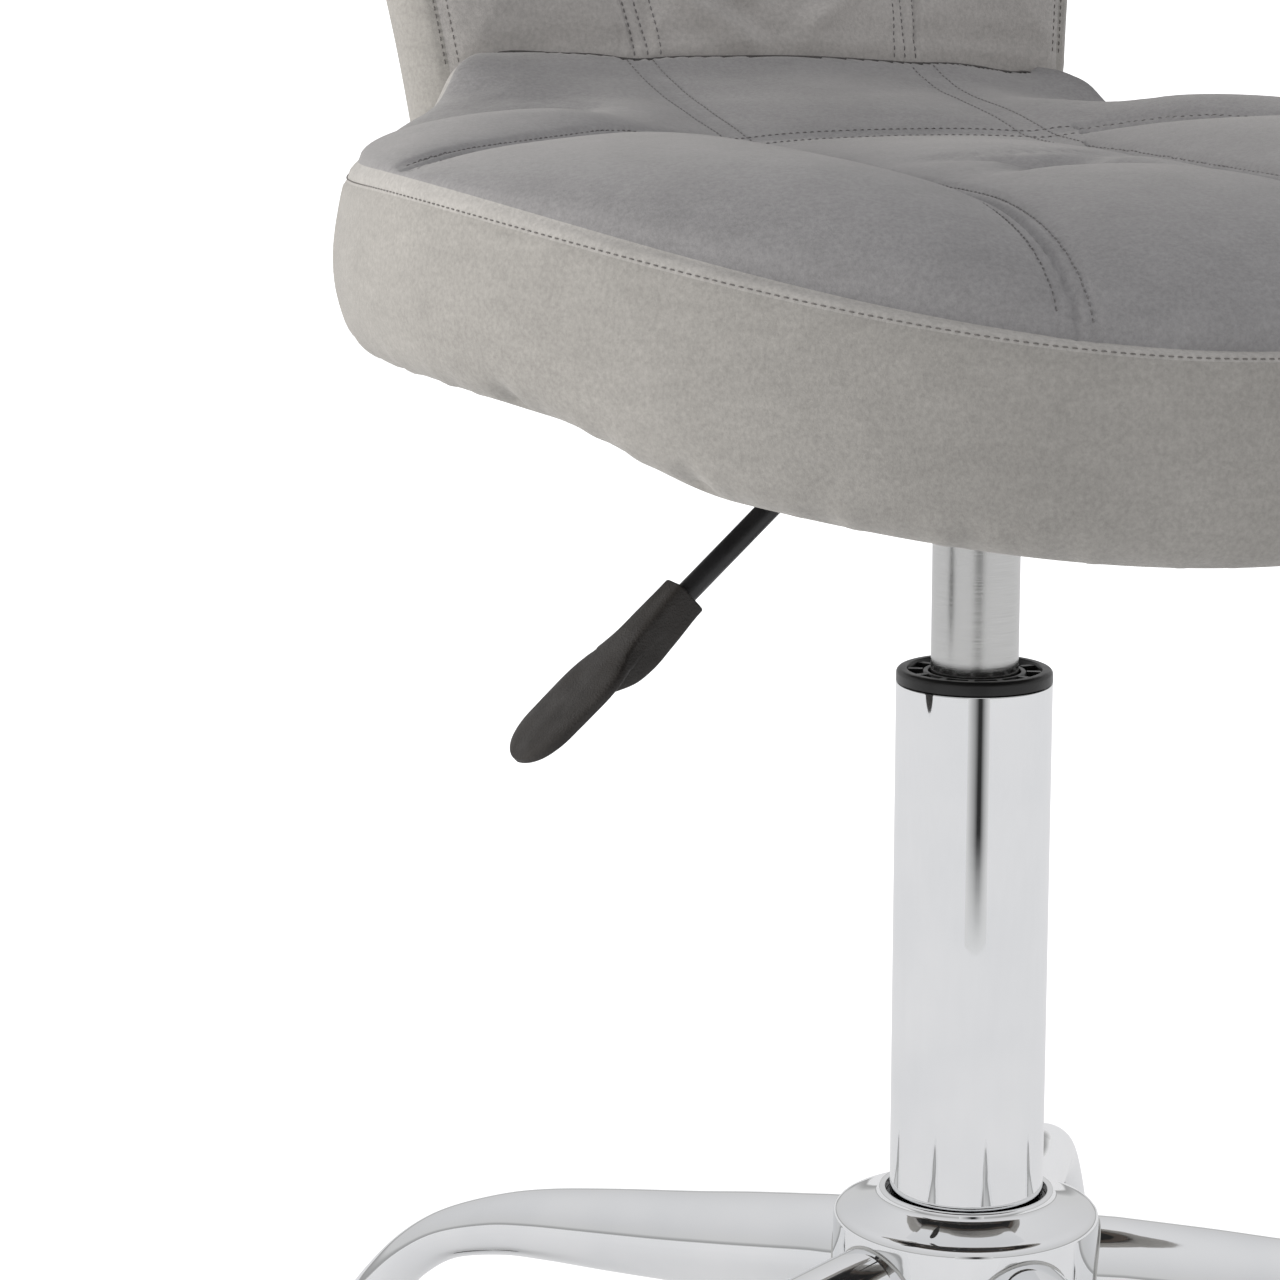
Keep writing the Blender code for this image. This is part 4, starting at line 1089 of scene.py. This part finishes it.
def seat_band(step, angle):
    """Radius and height of the side band, from the edge seam (0) round to the board (1)."""
    top, foot = stitch_height(angle), skirt_height(angle)
    tall = top - foot
    board = heights("seat_board")[1] + 0.0008
    tuck = 0.0018 + 0.0018 * ease(angle, 70, 108)
    knots = [(SEAT_RADIUS - edge_inset(angle), edge_height(angle)),
             (SEAT_RADIUS - tuck, top), (SEAT_RADIUS - 0.3 * tuck, top - 0.20 * tall),
             (SEAT_RADIUS + 0.0006, top - 0.45 * tall), (SEAT_RADIUS - 0.0002, top - 0.68 * tall),
             (SEAT_RADIUS - 0.0040, foot + 0.0052), (SEAT_RADIUS - 0.0105, foot - 0.0006),
             (SEAT_RADIUS - 0.0170, foot - 0.0014), (SEAT_RADIUS - 0.0240, foot + 0.0020),
             (SEAT_RADIUS - 0.0300, foot * 0.5 + board * 0.5), (0.1680, board)]
    place = step * (len(knots) - 1)
    first = min(int(place), len(knots) - 2)
    result = []
    for axis in (0, 1):
        line = [np.asarray(knot[axis], float) for knot in knots]
        padded = [2 * line[0] - line[1], *line, 2 * line[-1] - line[-2]]
        result.append(curve_point(*padded[first:first + 4], place - first))
    return result


def seat_rings():
    """Rings of points of the whole seat, from the middle of its top to under its board."""
    turn = np.linspace(0, math.tau, SEAT_SIDES, endpoint=False)
    x_way, y_way = np.sin(turn), -np.cos(turn)
    angle = np.degrees(np.arccos(np.clip(-y_way, -1, 1)))
    signed = np.degrees(np.arctan2(x_way, -y_way))
    rings = [seat_top(1 - (1 - step / TOP_RINGS) ** 1.15, signed)
             for step in range(1, TOP_RINGS + 1)]
    rings += [seat_band(step / BAND_RINGS, angle) for step in range(1, BAND_RINGS + 1)]
    return np.array([np.stack([x_way * radius, y_way * radius, height + 0 * angle], axis=-1)
                     for radius, height in rings])


def fit_to_back(points):
    """Flattens the rear of the seat against the pad, with the top folded down behind it."""
    x, y, z = points.T
    limit = back_face_y(x, np.minimum(z, 0.560)) - 0.0011
    over = y - limit
    beyond = (np.abs(x) < 0.145) & (over > 0)
    folded = z - 0.0008 - 0.42 * over
    return np.stack([x, np.where(beyond, limit, y), np.where(beyond & (z > 0.542), folded, z)],
                    axis=-1)


def seam_distances(points):
    """Signed distances in plan to the fore-and-aft seams and to the lateral seam."""
    x, y = points[:, 0], points[:, 1]
    return np.abs(x) - seam_line_x(y), y - lateral_line_y(x)


def seat_places(points):
    """Whether points are on the seat's top, their distance from its middle and angle."""
    reach = np.hypot(points[:, 0], points[:, 1])
    angle = np.degrees(np.arccos(np.clip(-points[:, 1] / np.maximum(reach, 1e-6), -1, 1)))
    top = (points[:, 2] > edge_height(angle) - 0.002) & (reach < SEAT_RADIUS - 0.002)
    return top, reach, angle


def seat_held(points):
    """How firmly the seat's cover is sewn down at each point."""
    top, reach, angle = seat_places(points)
    long_seam, lateral = seam_distances(points)
    sewn = np.maximum(bell(long_seam, 0.010), bell(lateral, 0.009))
    edge = bell(points[:, 2] - stitch_height(angle), 0.010) * (reach > SEAT_RADIUS - 0.02)
    under = ease(skirt_height(angle) + 0.020 - points[:, 2], 0.0, 0.012)
    rear = ease(points[:, 1] - chord_y(points[:, 0]) + 0.016, 0.0, 0.012)
    held = np.where(top, sewn, 0.25)
    return np.clip(np.maximum.reduce([held, edge, under, rear]), 0, 1)


def seat_relief(points, normals):
    """Sinks the seams, the quilted valleys and the stitched edge into the cover."""
    top, reach, angle = seat_places(points)
    long_seam, lateral = seam_distances(points)
    inside = ease(SEAT_RADIUS - 0.004 - reach, 0.0, 0.010)
    seams = seam_relief(long_seam) + seam_relief(lateral)
    sunk = np.where(top, seams * ease(inside, 0.0, 0.35), 0.0)
    stitch = points[:, 2] - stitch_height(angle)
    outer = reach > SEAT_RADIUS - 0.012
    sunk += np.where(outer, bell(stitch, 0.0012) * 0.0009, 0.0)
    gathers = np.sin(np.radians(angle) * 57) * 0.6 + np.sin(np.radians(angle) * 93 + 1) * 0.4
    low = ease(skirt_height(angle) + 0.012 - points[:, 2], 0.0, 0.012) * outer
    sunk += low * gathers * 0.0005
    for pucker in (50.0, 69.5):
        sunk += low * bell(angle - pucker, 1.6) * 0.0022
    return points - normals * sunk[:, None]


def make_seat():
    """The seat's quilted top and its side band, as one closed cover."""
    rings = seat_rings()
    count = len(rings)
    middle_top = np.array([[0, 0, float(seat_crown(np.zeros(1), np.zeros(1))[0])]])
    middle_foot = np.array([[0, 0, rings[-1][0, 2]]])
    points = np.concatenate([rings.reshape(-1, 3), middle_top, middle_foot])
    points[:, 2] -= 0.0100 * (ease(points[:, 0], 0.060, 0.120) * ease(points[:, 1], 0.100, 0.150)
                              * ease(points[:, 2], 0.500, 0.535))
    faces = ring_faces(count, SEAT_SIDES)
    crown, floor = count * SEAT_SIDES, count * SEAT_SIDES + 1
    last = (count - 1) * SEAT_SIDES
    for side in range(SEAT_SIDES):
        step = (side + 1) % SEAT_SIDES
        faces.append((crown, side, step))
        faces.append((last + step, last + side, floor))
    seat = piece_from("seat_upholstery", fit_to_back(points), faces,
                      [VELVET_TOP_SHADED, VELVET_SIDE, VELVET_EDGE_HIGHLIT], "seat",
                      ["seat_cushion"])
    shape_cover(seat, seat_held, seat_relief)
    set_points(seat.data, fit_to_back(points_of(seat.data)))
    band = np.zeros(len(seat.data.polygons), np.int32)
    band[(TOP_RINGS - 1) * SEAT_SIDES:(count - 1) * SEAT_SIDES] = 1
    centres = np.array([face.center for face in seat.data.polygons])
    angle = np.degrees(np.arctan2(np.abs(centres[:, 0]), -centres[:, 1]))
    # Band faces above the stitches take the lighter edge velvet, a painted highlight on the rolled
    # edge
    band[(band == 1) & (centres[:, 2] > stitch_height(angle) - 0.0003)] = 2
    seat.data.polygons.foreach_set("material_index", band)
    return seat


# Stitching ---------------------------------------------------------------------------------
def surface_tree(piece):
    """The piece's faces, ready for nearest-point and ray look-ups."""
    mesh = piece.data
    return BVHTree.FromPolygons([vertex.co for vertex in mesh.vertices],
                                [tuple(face.vertices) for face in mesh.polygons])


def sewn(name, lines, tree, finish):
    """One piece of separate thread loops along lines of points laid on a surface."""
    sides, rings = 6, 5
    points, faces = [], []
    for line in lines:
        spots = [tree.find_nearest(Vector(spot))[0] for spot in line]
        lengths = [0.0]
        for before, after in zip(spots, spots[1:]):
            lengths.append(lengths[-1] + (after - before).length)

        def place(distance):
            return Vector([float(np.interp(distance, lengths, [spot[axis] for spot in spots]))
                           for axis in range(3)])

        for number in range(int(lengths[-1] / STITCH_PITCH)):
            middle = (number + 0.5) * STITCH_PITCH
            centre = place(middle)
            ahead = place(middle + 0.001) - centre
            if ahead.length < 1e-6:
                continue
            centre, normal, _, _ = tree.find_nearest(centre)
            ahead.normalize()
            across = ahead.cross(normal).normalized()
            base = len(points)
            for step in range(rings):
                t = step / (rings - 1) * 2 - 1
                thick = THREAD_RADIUS * math.sqrt(max(0.05, 1 - 0.8 * t ** 4))
                lift = normal * (0.00022 - 0.0005 * t * t)
                spot = centre + ahead * t * STITCH_LENGTH / 2 + lift
                points += ring(spot, thick, across, normal, sides)
            faces += [tuple(base + index for index in face)
                      for face in tube_faces(rings, sides)]
    piece_from(name, points, faces, [finish], "seat")


def seat_seam_lines():
    """Lines of (x, y) on each side of the seat's seams."""
    lines = []
    for side in (-1, 1):
        for offset in (-TOPSTITCH, TOPSTITCH):
            lines.append([(side * (seam_line_x(y) + offset), y) for y in
                          np.linspace(-0.186, 0.160, 160)])
            lines.append([(side * x, lateral_line_y(x) + offset) for x in
                          np.linspace(0.0, 0.192, 90)])
    return lines


def drop_to(tree, x, y):
    """The top surface straight below a place of the plan, or None off the seat."""
    hit, _, _, _ = tree.ray_cast(Vector((x, y, 0.62)), Vector((0, 0, -1)))
    return hit


def inside_seat(x, y):
    return math.hypot(x, y) < SEAT_RADIUS - 0.0075 and y < chord_y(x) - 0.0015


def sew_seat(seat):
    tree = surface_tree(seat)
    panel = []
    for line in seat_seam_lines():
        spots = [drop_to(tree, x, y) for x, y in line if inside_seat(x, y)]
        panel.append([spot for spot in spots if spot is not None])
    sewn("seat_panel_stitches", panel, tree, THREAD_DARK)
    edge = []
    for degree in np.arange(-143, 143.1, 0.5):
        outside = Vector((math.sin(math.radians(degree)), -math.cos(math.radians(degree)), 0))
        level = Vector((0, 0, float(stitch_height(np.abs(degree)))))
        hit, _, _, _ = tree.ray_cast(outside * 0.26 + level, -outside)
        if hit is not None:
            edge.append(hit)
    sewn("seat_edge_stitches", [edge], tree, THREAD)


# Back --------------------------------------------------------------------------------------
BACK_COLUMNS, BACK_ROWS = 150, 190
CORNER = 0.055              # radius of the back's top corners
BAND_BULGE = 0.0095         # how far the side band swells outwards
REAR_INSET = -0.001         # the rear panel is a little wider than the front's outline


def back_outline(up):
    """Half width and rise of the back's seam outline at a share up its height."""
    top = BACK_HEIGHT - 0.010
    rise = BACK_BOTTOM + up * (top - BACK_BOTTOM)
    over = np.maximum(0.0, rise - (top - CORNER))
    width = back_half_width(rise) - (CORNER - np.sqrt(np.maximum(CORNER ** 2 - over ** 2, 0)))
    return width, rise


def back_grid(inset=0.0):
    """Grid of (x, rise) over the back within its outline."""
    up = np.linspace(0, 1, BACK_ROWS)
    across = np.linspace(-1, 1, BACK_COLUMNS)
    width, rise = back_outline(up)
    x = across[None, :] * (width[:, None] - inset)
    arch = 0.008 * (1 - across[None, :] ** 2) * ease(rise[:, None], 0.05, 0.25)
    return x, rise[:, None] + arch - inset * ease(rise[:, None], 0.2, 0.25)


def back_lateral(x):
    """Rise of the seams across the back's panels, which dip at the middle."""
    return 0.052 + 0.030 * ease(np.abs(x), 0.0, 0.14), 0.152 + 0.022 * ease(np.abs(x), 0.0, 0.14)


def back_seam_x(rise):
    """Distance from the middle of the two seams that run up the back."""
    return SEAM_X + 0.09 * np.maximum(rise, 0)


def back_puff(x, rise):
    """How far the quilted panels of the back stand forwards."""
    width = back_half_width(rise)
    lines = [np.abs(np.abs(x) - back_seam_x(rise)), np.abs(width - np.abs(x)) + 0.001]
    lines += [np.abs(rise - line) for line in back_lateral(x)]
    lines += [np.abs(rise) * 0.7 + 0.001, np.maximum(BACK_HEIGHT - rise, 0)]
    nearest = np.minimum.reduce(lines)
    puff = 0.0085 * (1 - np.exp(-nearest / 0.020)) * ease(rise, -0.004, 0.010)
    corners = sum(0.0022 * bell(np.hypot(np.abs(x) - back_seam_x(rise), rise - line), 0.016)
                  for line in back_lateral(x))
    tuft = sum(0.004 * bell(np.hypot(x, rise - line), 0.014) for line in back_lateral(x))
    fold = np.abs(rise - 0.006 - 0.60 * np.abs(x + 0.004))
    near = ease(0.050 - np.abs(x), 0.0, 0.014)
    crease = 0.0030 * bell(fold, 0.0055) * ease(np.abs(x), 0.002, 0.016) * near
    ridge = 0.0022 * bell(fold - 0.010, 0.006) * ease(np.abs(x), 0.004, 0.016) * near
    return puff - corners - tuft - crease + ridge


def make_back():
    """Front panel, rolled side band and rear panel of the back, as one closed cover."""
    x, rise = back_grid()
    front = pad_points(x, rise, back_puff(x, rise))
    rear_x, rear_rise = back_grid(REAR_INSET)
    rear = back_points(rear_x, rear_rise, np.full_like(rear_x, BACK_REAR))
    points = [front.reshape(-1, 3)]

    def index(row, column, base=0):
        return base + row * BACK_COLUMNS + column

    panel = [(index(row, column), index(row, column + 1), index(row + 1, column + 1),
              index(row + 1, column))
             for row in range(BACK_ROWS - 1) for column in range(BACK_COLUMNS - 1)]
    faces = list(panel)
    loop = [(0, column) for column in range(BACK_COLUMNS)]
    loop += [(row, BACK_COLUMNS - 1) for row in range(1, BACK_ROWS)]
    loop += [(BACK_ROWS - 1, column) for column in range(BACK_COLUMNS - 2, -1, -1)]
    loop += [(row, 0) for row in range(BACK_ROWS - 2, 0, -1)]
    rows, columns = np.array(loop).T
    near, far = front[rows, columns], rear[rows, columns]
    flat = np.stack([x[rows, columns], rise[rows, columns]], axis=-1)
    ahead = np.roll(flat, -1, axis=0) - np.roll(flat, 1, axis=0)
    for _ in range(6):
        ahead = (ahead + np.roll(ahead, 1, axis=0) + np.roll(ahead, -1, axis=0)) / 3
    out = np.stack([ahead[:, 1], 0 * ahead[:, 0], -ahead[:, 0]], axis=-1)
    out /= np.linalg.norm(out, axis=1)[:, None]
    base = BACK_ROWS * BACK_COLUMNS
    previous = [index(row, column) for row, column in loop]
    for share, reach in band_rings():
        points.append(near + (far - near) * share + out * reach)
        current = [base + step for step in range(len(loop))]
        faces += joined_loops(previous, current)
        previous, base = current, base + len(loop)
    points.append(rear.reshape(-1, 3))
    faces += joined_loops(previous, [index(row, column, base) for row, column in loop])
    faces += [tuple(base + corner for corner in (face[0], *face[:0:-1])) for face in panel]
    back = piece_from("back_upholstery", np.concatenate(points), faces,
                      [VELVET_BACK_LIT, VELVET_SIDE], "seat",
                      ["back_cushion", "back_cover"])
    shape_cover(back, back_held, back_relief)
    centres = np.array([face.center for face in back.data.polygons])
    # The pad's face takes the lighter back velvet, which is painted light; the side band and the
    # rear take the band's velvet
    rear = ~on_pad(*back_places(centres))
    back.data.polygons.foreach_set("material_index", rear.astype(np.int32))
    return back


def band_rings():
    """(share from front seam to rear, reach outwards) of the side band's rings."""
    shares = [step / 18 for step in range(1, 18)]
    return [(share, BAND_BULGE * ((math.sin(math.pi * share) ** 0.55) * (1 - 0.35 * share)))
            for share in shares]


def joined_loops(first, second):
    """Quads between two closed loops of point numbers."""
    count = len(first)
    return [(first[step], second[step], second[(step + 1) % count], first[(step + 1) % count])
            for step in range(count)]


def back_places(points):
    """(x, rise, depth) of points near the back, from the front face of its board."""
    rise = np.interp(points[:, 2], BACK_Z, RISE_TABLE)
    zero = np.zeros(len(points))
    for _ in range(3):
        lean = back_lean(rise)
        gap = points - back_points(points[:, 0], rise, zero)
        rise = rise + gap[:, 1] * np.sin(lean) + gap[:, 2] * np.cos(lean)
    side = np.clip(points[:, 0] / BACK_CURVE, -0.95, 0.95)
    ahead = np.sqrt(1 - side ** 2)
    normal = np.stack([side * np.cos(lean), ahead * np.cos(lean), -np.sin(lean)], axis=-1)
    return points[:, 0], rise, np.sum(gap * normal, axis=1)


def on_pad(x, rise, depth):
    """Whether points lie on the pad's face, and not on the side band or the rear."""
    return (depth < -0.5 * pad_depth(x, rise)) & (np.abs(x) < back_half_width(rise) + 0.001)


def back_held(points):
    """How firmly the back's cover is sewn down at each point."""
    x, rise, depth = back_places(points)
    width = back_half_width(rise)
    seams = [bell(np.abs(x) - back_seam_x(rise), 0.010), bell(width - np.abs(x), 0.010),
             ease(0.014 - rise, 0.0, 0.014)]
    seams += [bell(rise - line, 0.009) for line in back_lateral(x)]
    return np.clip(np.where(on_pad(x, rise, depth), np.maximum.reduce(seams), 0.8), 0, 1)


def back_relief(points, normals):
    """Sinks the seams into the pad's face."""
    x, rise, depth = back_places(points)
    within = ease(back_half_width(rise) - np.abs(x), 0.000, 0.006)
    above = ease(rise, -0.006, 0.002)
    sunk = seam_relief(np.abs(x) - back_seam_x(rise)) * above
    for line in back_lateral(x):
        sunk = sunk + seam_relief(rise - line)
    rim = bell(back_half_width(rise) - np.abs(x), 0.0016) * 0.0012 * ease(rise, -0.01, 0.0)
    sunk = np.where(on_pad(x, rise, depth), sunk * within + rim, 0.0)
    return points - normals * sunk[:, None]


def sew_back(back):
    """Stitches along the back's panels and beside its side seams."""
    tree = surface_tree(back)
    top = BACK_HEIGHT - 0.014
    panel, rim = [], []

    def laid(x, rise, raised=0.004):
        return [Vector(spot) for spot in pad_points(x, rise, np.full(len(x), raised))]

    def faced(x, rise):
        hits = [tree.ray_cast(spot - Vector((0, 0.06, 0)), Vector((0, 1, 0)))[0]
                for spot in laid(x, rise)]
        return [hit for hit in hits if hit is not None]

    for side in (-1, 1):
        for offset in (-TOPSTITCH, 0.0, TOPSTITCH):
            rises = np.linspace(-0.006, top, 120)
            panel.append(faced(side * (back_seam_x(rises) + offset), rises))
            across = np.linspace(0.0, 0.18, 80)
            for line in back_lateral(across):
                inside = across < back_half_width(line) - 0.006
                panel.append(faced(side * across[inside], (line + offset)[inside]))
        rises = np.linspace(0.0, top - CORNER, 100)
        rim.append(laid(side * (back_half_width(rises) + 0.0032), rises, -0.0030))
        rim.append(laid(side * (back_half_width(rises) + 0.0012), rises, 0.0006))
    sewn("back_stitches", panel, tree, THREAD_DARK)
    sewn("back_edge_stitches", rim, tree, THREAD)


def lay_crease_shade(seat):
    """A dark thread bead along the line where the seat's cover meets the pad of the back: painted
    shade for the shadow in the crease.
    """
    tree = surface_tree(seat)
    path = []
    for x in np.linspace(-0.112, 0.112, 113):
        y = float(back_face_y(np.array(x), np.array(0.554)))
        hit = drop_to(tree, x, y - 0.0026)
        if hit is not None:
            path.append(Vector((x, y - 0.0012, hit.z + 0.0002)))
    heights_along = np.array([spot.z for spot in path])
    smooth = np.convolve(np.pad(heights_along, 3, mode="edge"), np.ones(7) / 7, "valid")
    for spot, height in zip(path, smooth):
        spot.z = float(height)
    points = swept(path, [BEAD_RADIUS] * len(path), 8)
    piece_from("crease_shade_bead", points, tube_faces(len(path), 8), [THREAD_CREASE_SHADE], "seat")


# Kept CAD nodes ----------------------------------------------------------------------------
def dress_kept_nodes():
    bolts = [f"mounting_bolt_{number}" for number in range(1, 5)]
    for nodes, finish, slot, bevel in (
            (["taper_socket", "mechanism_housing", "mounting_plate"], BLACK_COAT,
             "black_steel", 0.0008),
            (["back_bracket_left", "back_bracket_right"], BLACK_COAT, "black_steel", 0),
            (["column_base_plate", "thrust_bearing", "retaining_clip", "piston_rod",
              "valve_pin", "lever_pivot_pin"] + bolts, ZINC, "zinc", 0.0002),
            (["guide_sleeve", "piston"], COLLAR_PLASTIC, "black_plastic", 0.0002),
            (["seat_board", "back_board"], PLYWOOD, "plywood", 0.0006),
            (["dust_cover"], DUST_CLOTH, "dust_fabric", 0)):
        for node in nodes:
            dress(node, finish, bevel)


# Studio ------------------------------------------------------------------------------------
def make_camera():
    """Long lens, a little above the seat, looking down at the front and right side."""
    data = bpy.data.cameras.new("camera")
    data.lens = 110.42
    data.sensor_width = 36.0
    data.clip_start = 0.05
    data.clip_end = 200.0
    camera = placed("camera", data)
    heading, pitch = math.radians(22.0), math.radians(11.0)
    camera.location = (-0.5587, -1.0980, 0.612)
    look = Vector((math.sin(heading) * math.cos(pitch), math.cos(heading) * math.cos(pitch),
                   -math.sin(pitch)))
    camera.rotation_mode = "QUATERNION"
    camera.rotation_quaternion = look.to_track_quat("-Z", "Y")
    bpy.context.scene.camera = camera


def make_floor():
    """White sweep that glows a little, so that it stays as bright as the backdrop."""
    cage = bmesh.new()
    bmesh.ops.create_circle(cage, cap_ends=True, segments=96, radius=40.0)
    mesh = mesh_of_cage("floor", cage)
    paint = Finish("floor_paint", Specular_IOR_Level=0.1, Emission_Color=(1.0, 1.0, 1.0, 1.0))
    glow = paint.node("MapRange", To_Min=0.27, To_Max=0.85)
    paint.link(paint.node("LightPath").outputs["Is Camera Ray"], glow.inputs["Value"])
    paint.link(glow.outputs["Result"], paint.shader.inputs["Emission Strength"])
    tone = paint.two_tone(paint.noise(3, 3), grey(0.78), grey(0.80))
    mesh.materials.append(paint.done(tone, paint.spread(paint.noise(8, 2), 0.8, 0.9)))
    floor = placed("floor", mesh)
    floor.location.z = -0.0004
    return floor


def make_key(floor):
    """Large warm lamp at the left, which mirrors don't show and the floor isn't lit by."""
    data = bpy.data.lights.new("key", "AREA")
    data.shape = "RECTANGLE"
    data.size = data.size_y = 1.3
    data.energy = 42
    data.color = (1.0, 0.975, 0.935)
    key = placed("key", data)
    key.location = (-2.3, 0.72, 0.74)
    key.rotation_mode = "QUATERNION"
    key.rotation_quaternion = (Vector((0, 0, 0.48)) - key.location).to_track_quat("-Z", "Y")
    key.visible_glossy = False
    unlit = bpy.data.collections.new("unlit_by_key")
    unlit.objects.link(floor)
    unlit.collection_objects[0].light_linking.link_state = "EXCLUDE"
    key.light_linking.receiver_collection = unlit


def mirror_card(name, place, size, dark, light):
    """A standing card that only mirrors see: dark down its middle, light round its edges."""
    cage = bmesh.new()
    bmesh.ops.create_grid(cage, x_segments=1, y_segments=1, size=0.5)
    upright = Matrix.Rotation(math.pi / 2, 4, "X") @ Matrix.Diagonal((size[0], size[1], 1.0, 1.0))
    cage.transform(upright)
    mesh = mesh_of_cage(name, cage)
    card = Finish(f"{name}_paint", Roughness=1.0, Specular_IOR_Level=0.0,
                  Base_Color=(0.0, 0.0, 0.0, 1.0), Emission_Strength=1.0)
    split = generated_place(card.tree)
    stops = ((0.0, light), (0.33, 0.45 * light), (0.50, dark), (0.62, dark), (0.80, 0.6 * light),
             (1.0, light))
    across = card.ramp(split.outputs["X"], *((at, grey(level)) for at, level in stops))
    foot = card.node("MapRange", From_Min=0.02, From_Max=0.34)
    card.link(split.outputs["Z"], foot.inputs["Value"])
    fade = colour_mix(card.tree, foot.outputs["Result"], (*grey(light), 1.0), across)
    card.link(fade, card.shader.inputs["Emission Color"])
    mesh.materials.append(card.material)
    made = placed(name, mesh)
    made.location = place
    made.rotation_euler = (0, 0, math.atan2(place[0], -place[1]))
    made.visible_camera = made.visible_diffuse = made.visible_shadow = False


def generated_place(tree):
    """Node that splits a point's generated coordinates."""
    split = tree.nodes.new("ShaderNodeSeparateXYZ")
    tree.links.new(tree.nodes.new("ShaderNodeTexCoord").outputs["Generated"],
                   split.inputs["Vector"])
    return split


def make_world():
    """White to the camera, greys with a dark horizon in mirrors, and a dimmer sky as light."""
    world = bpy.data.worlds.new("studio")
    world.use_nodes = True
    bpy.context.scene.world = world
    tree = world.node_tree
    level = preset(tree.nodes.new("ShaderNodeMapRange"), {"From Min": -1.0})
    tree.links.new(generated_place(tree).outputs["Z"], level.inputs["Value"])
    up = level.outputs["Result"]
    light = colour_ramp(tree, up, ((0.0, (0.50, 0.49, 0.47)), (0.50, (0.66, 0.645, 0.62)),
                                   (0.70, (0.66, 0.655, 0.66)), (1.0, (0.62, 0.625, 0.65))))
    mirror = colour_ramp(tree, up, (
        (0.0, grey(0.85)), (0.497, grey(0.80)), (0.512, grey(0.34)), (0.535, grey(0.42)),
        (0.565, grey(0.62)), (0.72, (0.66, 0.66, 0.67)), (1.0, (0.76, 0.76, 0.77))))
    path = tree.nodes.new("ShaderNodeLightPath")
    colour = colour_mix(tree, path.outputs["Is Glossy Ray"], light, mirror)
    colour = colour_mix(tree, path.outputs["Is Camera Ray"], colour, (1.0, 1.0, 1.0, 1.0))
    back = tree.nodes["Background"]
    tree.links.new(colour, back.inputs["Color"])
    back.inputs["Strength"].default_value = 1.0


def make_studio():
    bpy.context.scene.view_settings.view_transform = "Standard"
    make_world()
    make_key(make_floor())
    mirror_card("camera_card", (-0.440, -1.250, 0.24), (0.74, 0.48), 0.03, 0.72)


make_camera()
make_hub()
make_legs()
make_column()
make_castors()
make_lever_rod()
make_grip()
seat_cover = make_seat()
sew_seat(seat_cover)
back_cover = make_back()
sew_back(back_cover)
lay_crease_shade(seat_cover)
dress_kept_nodes()
make_studio()
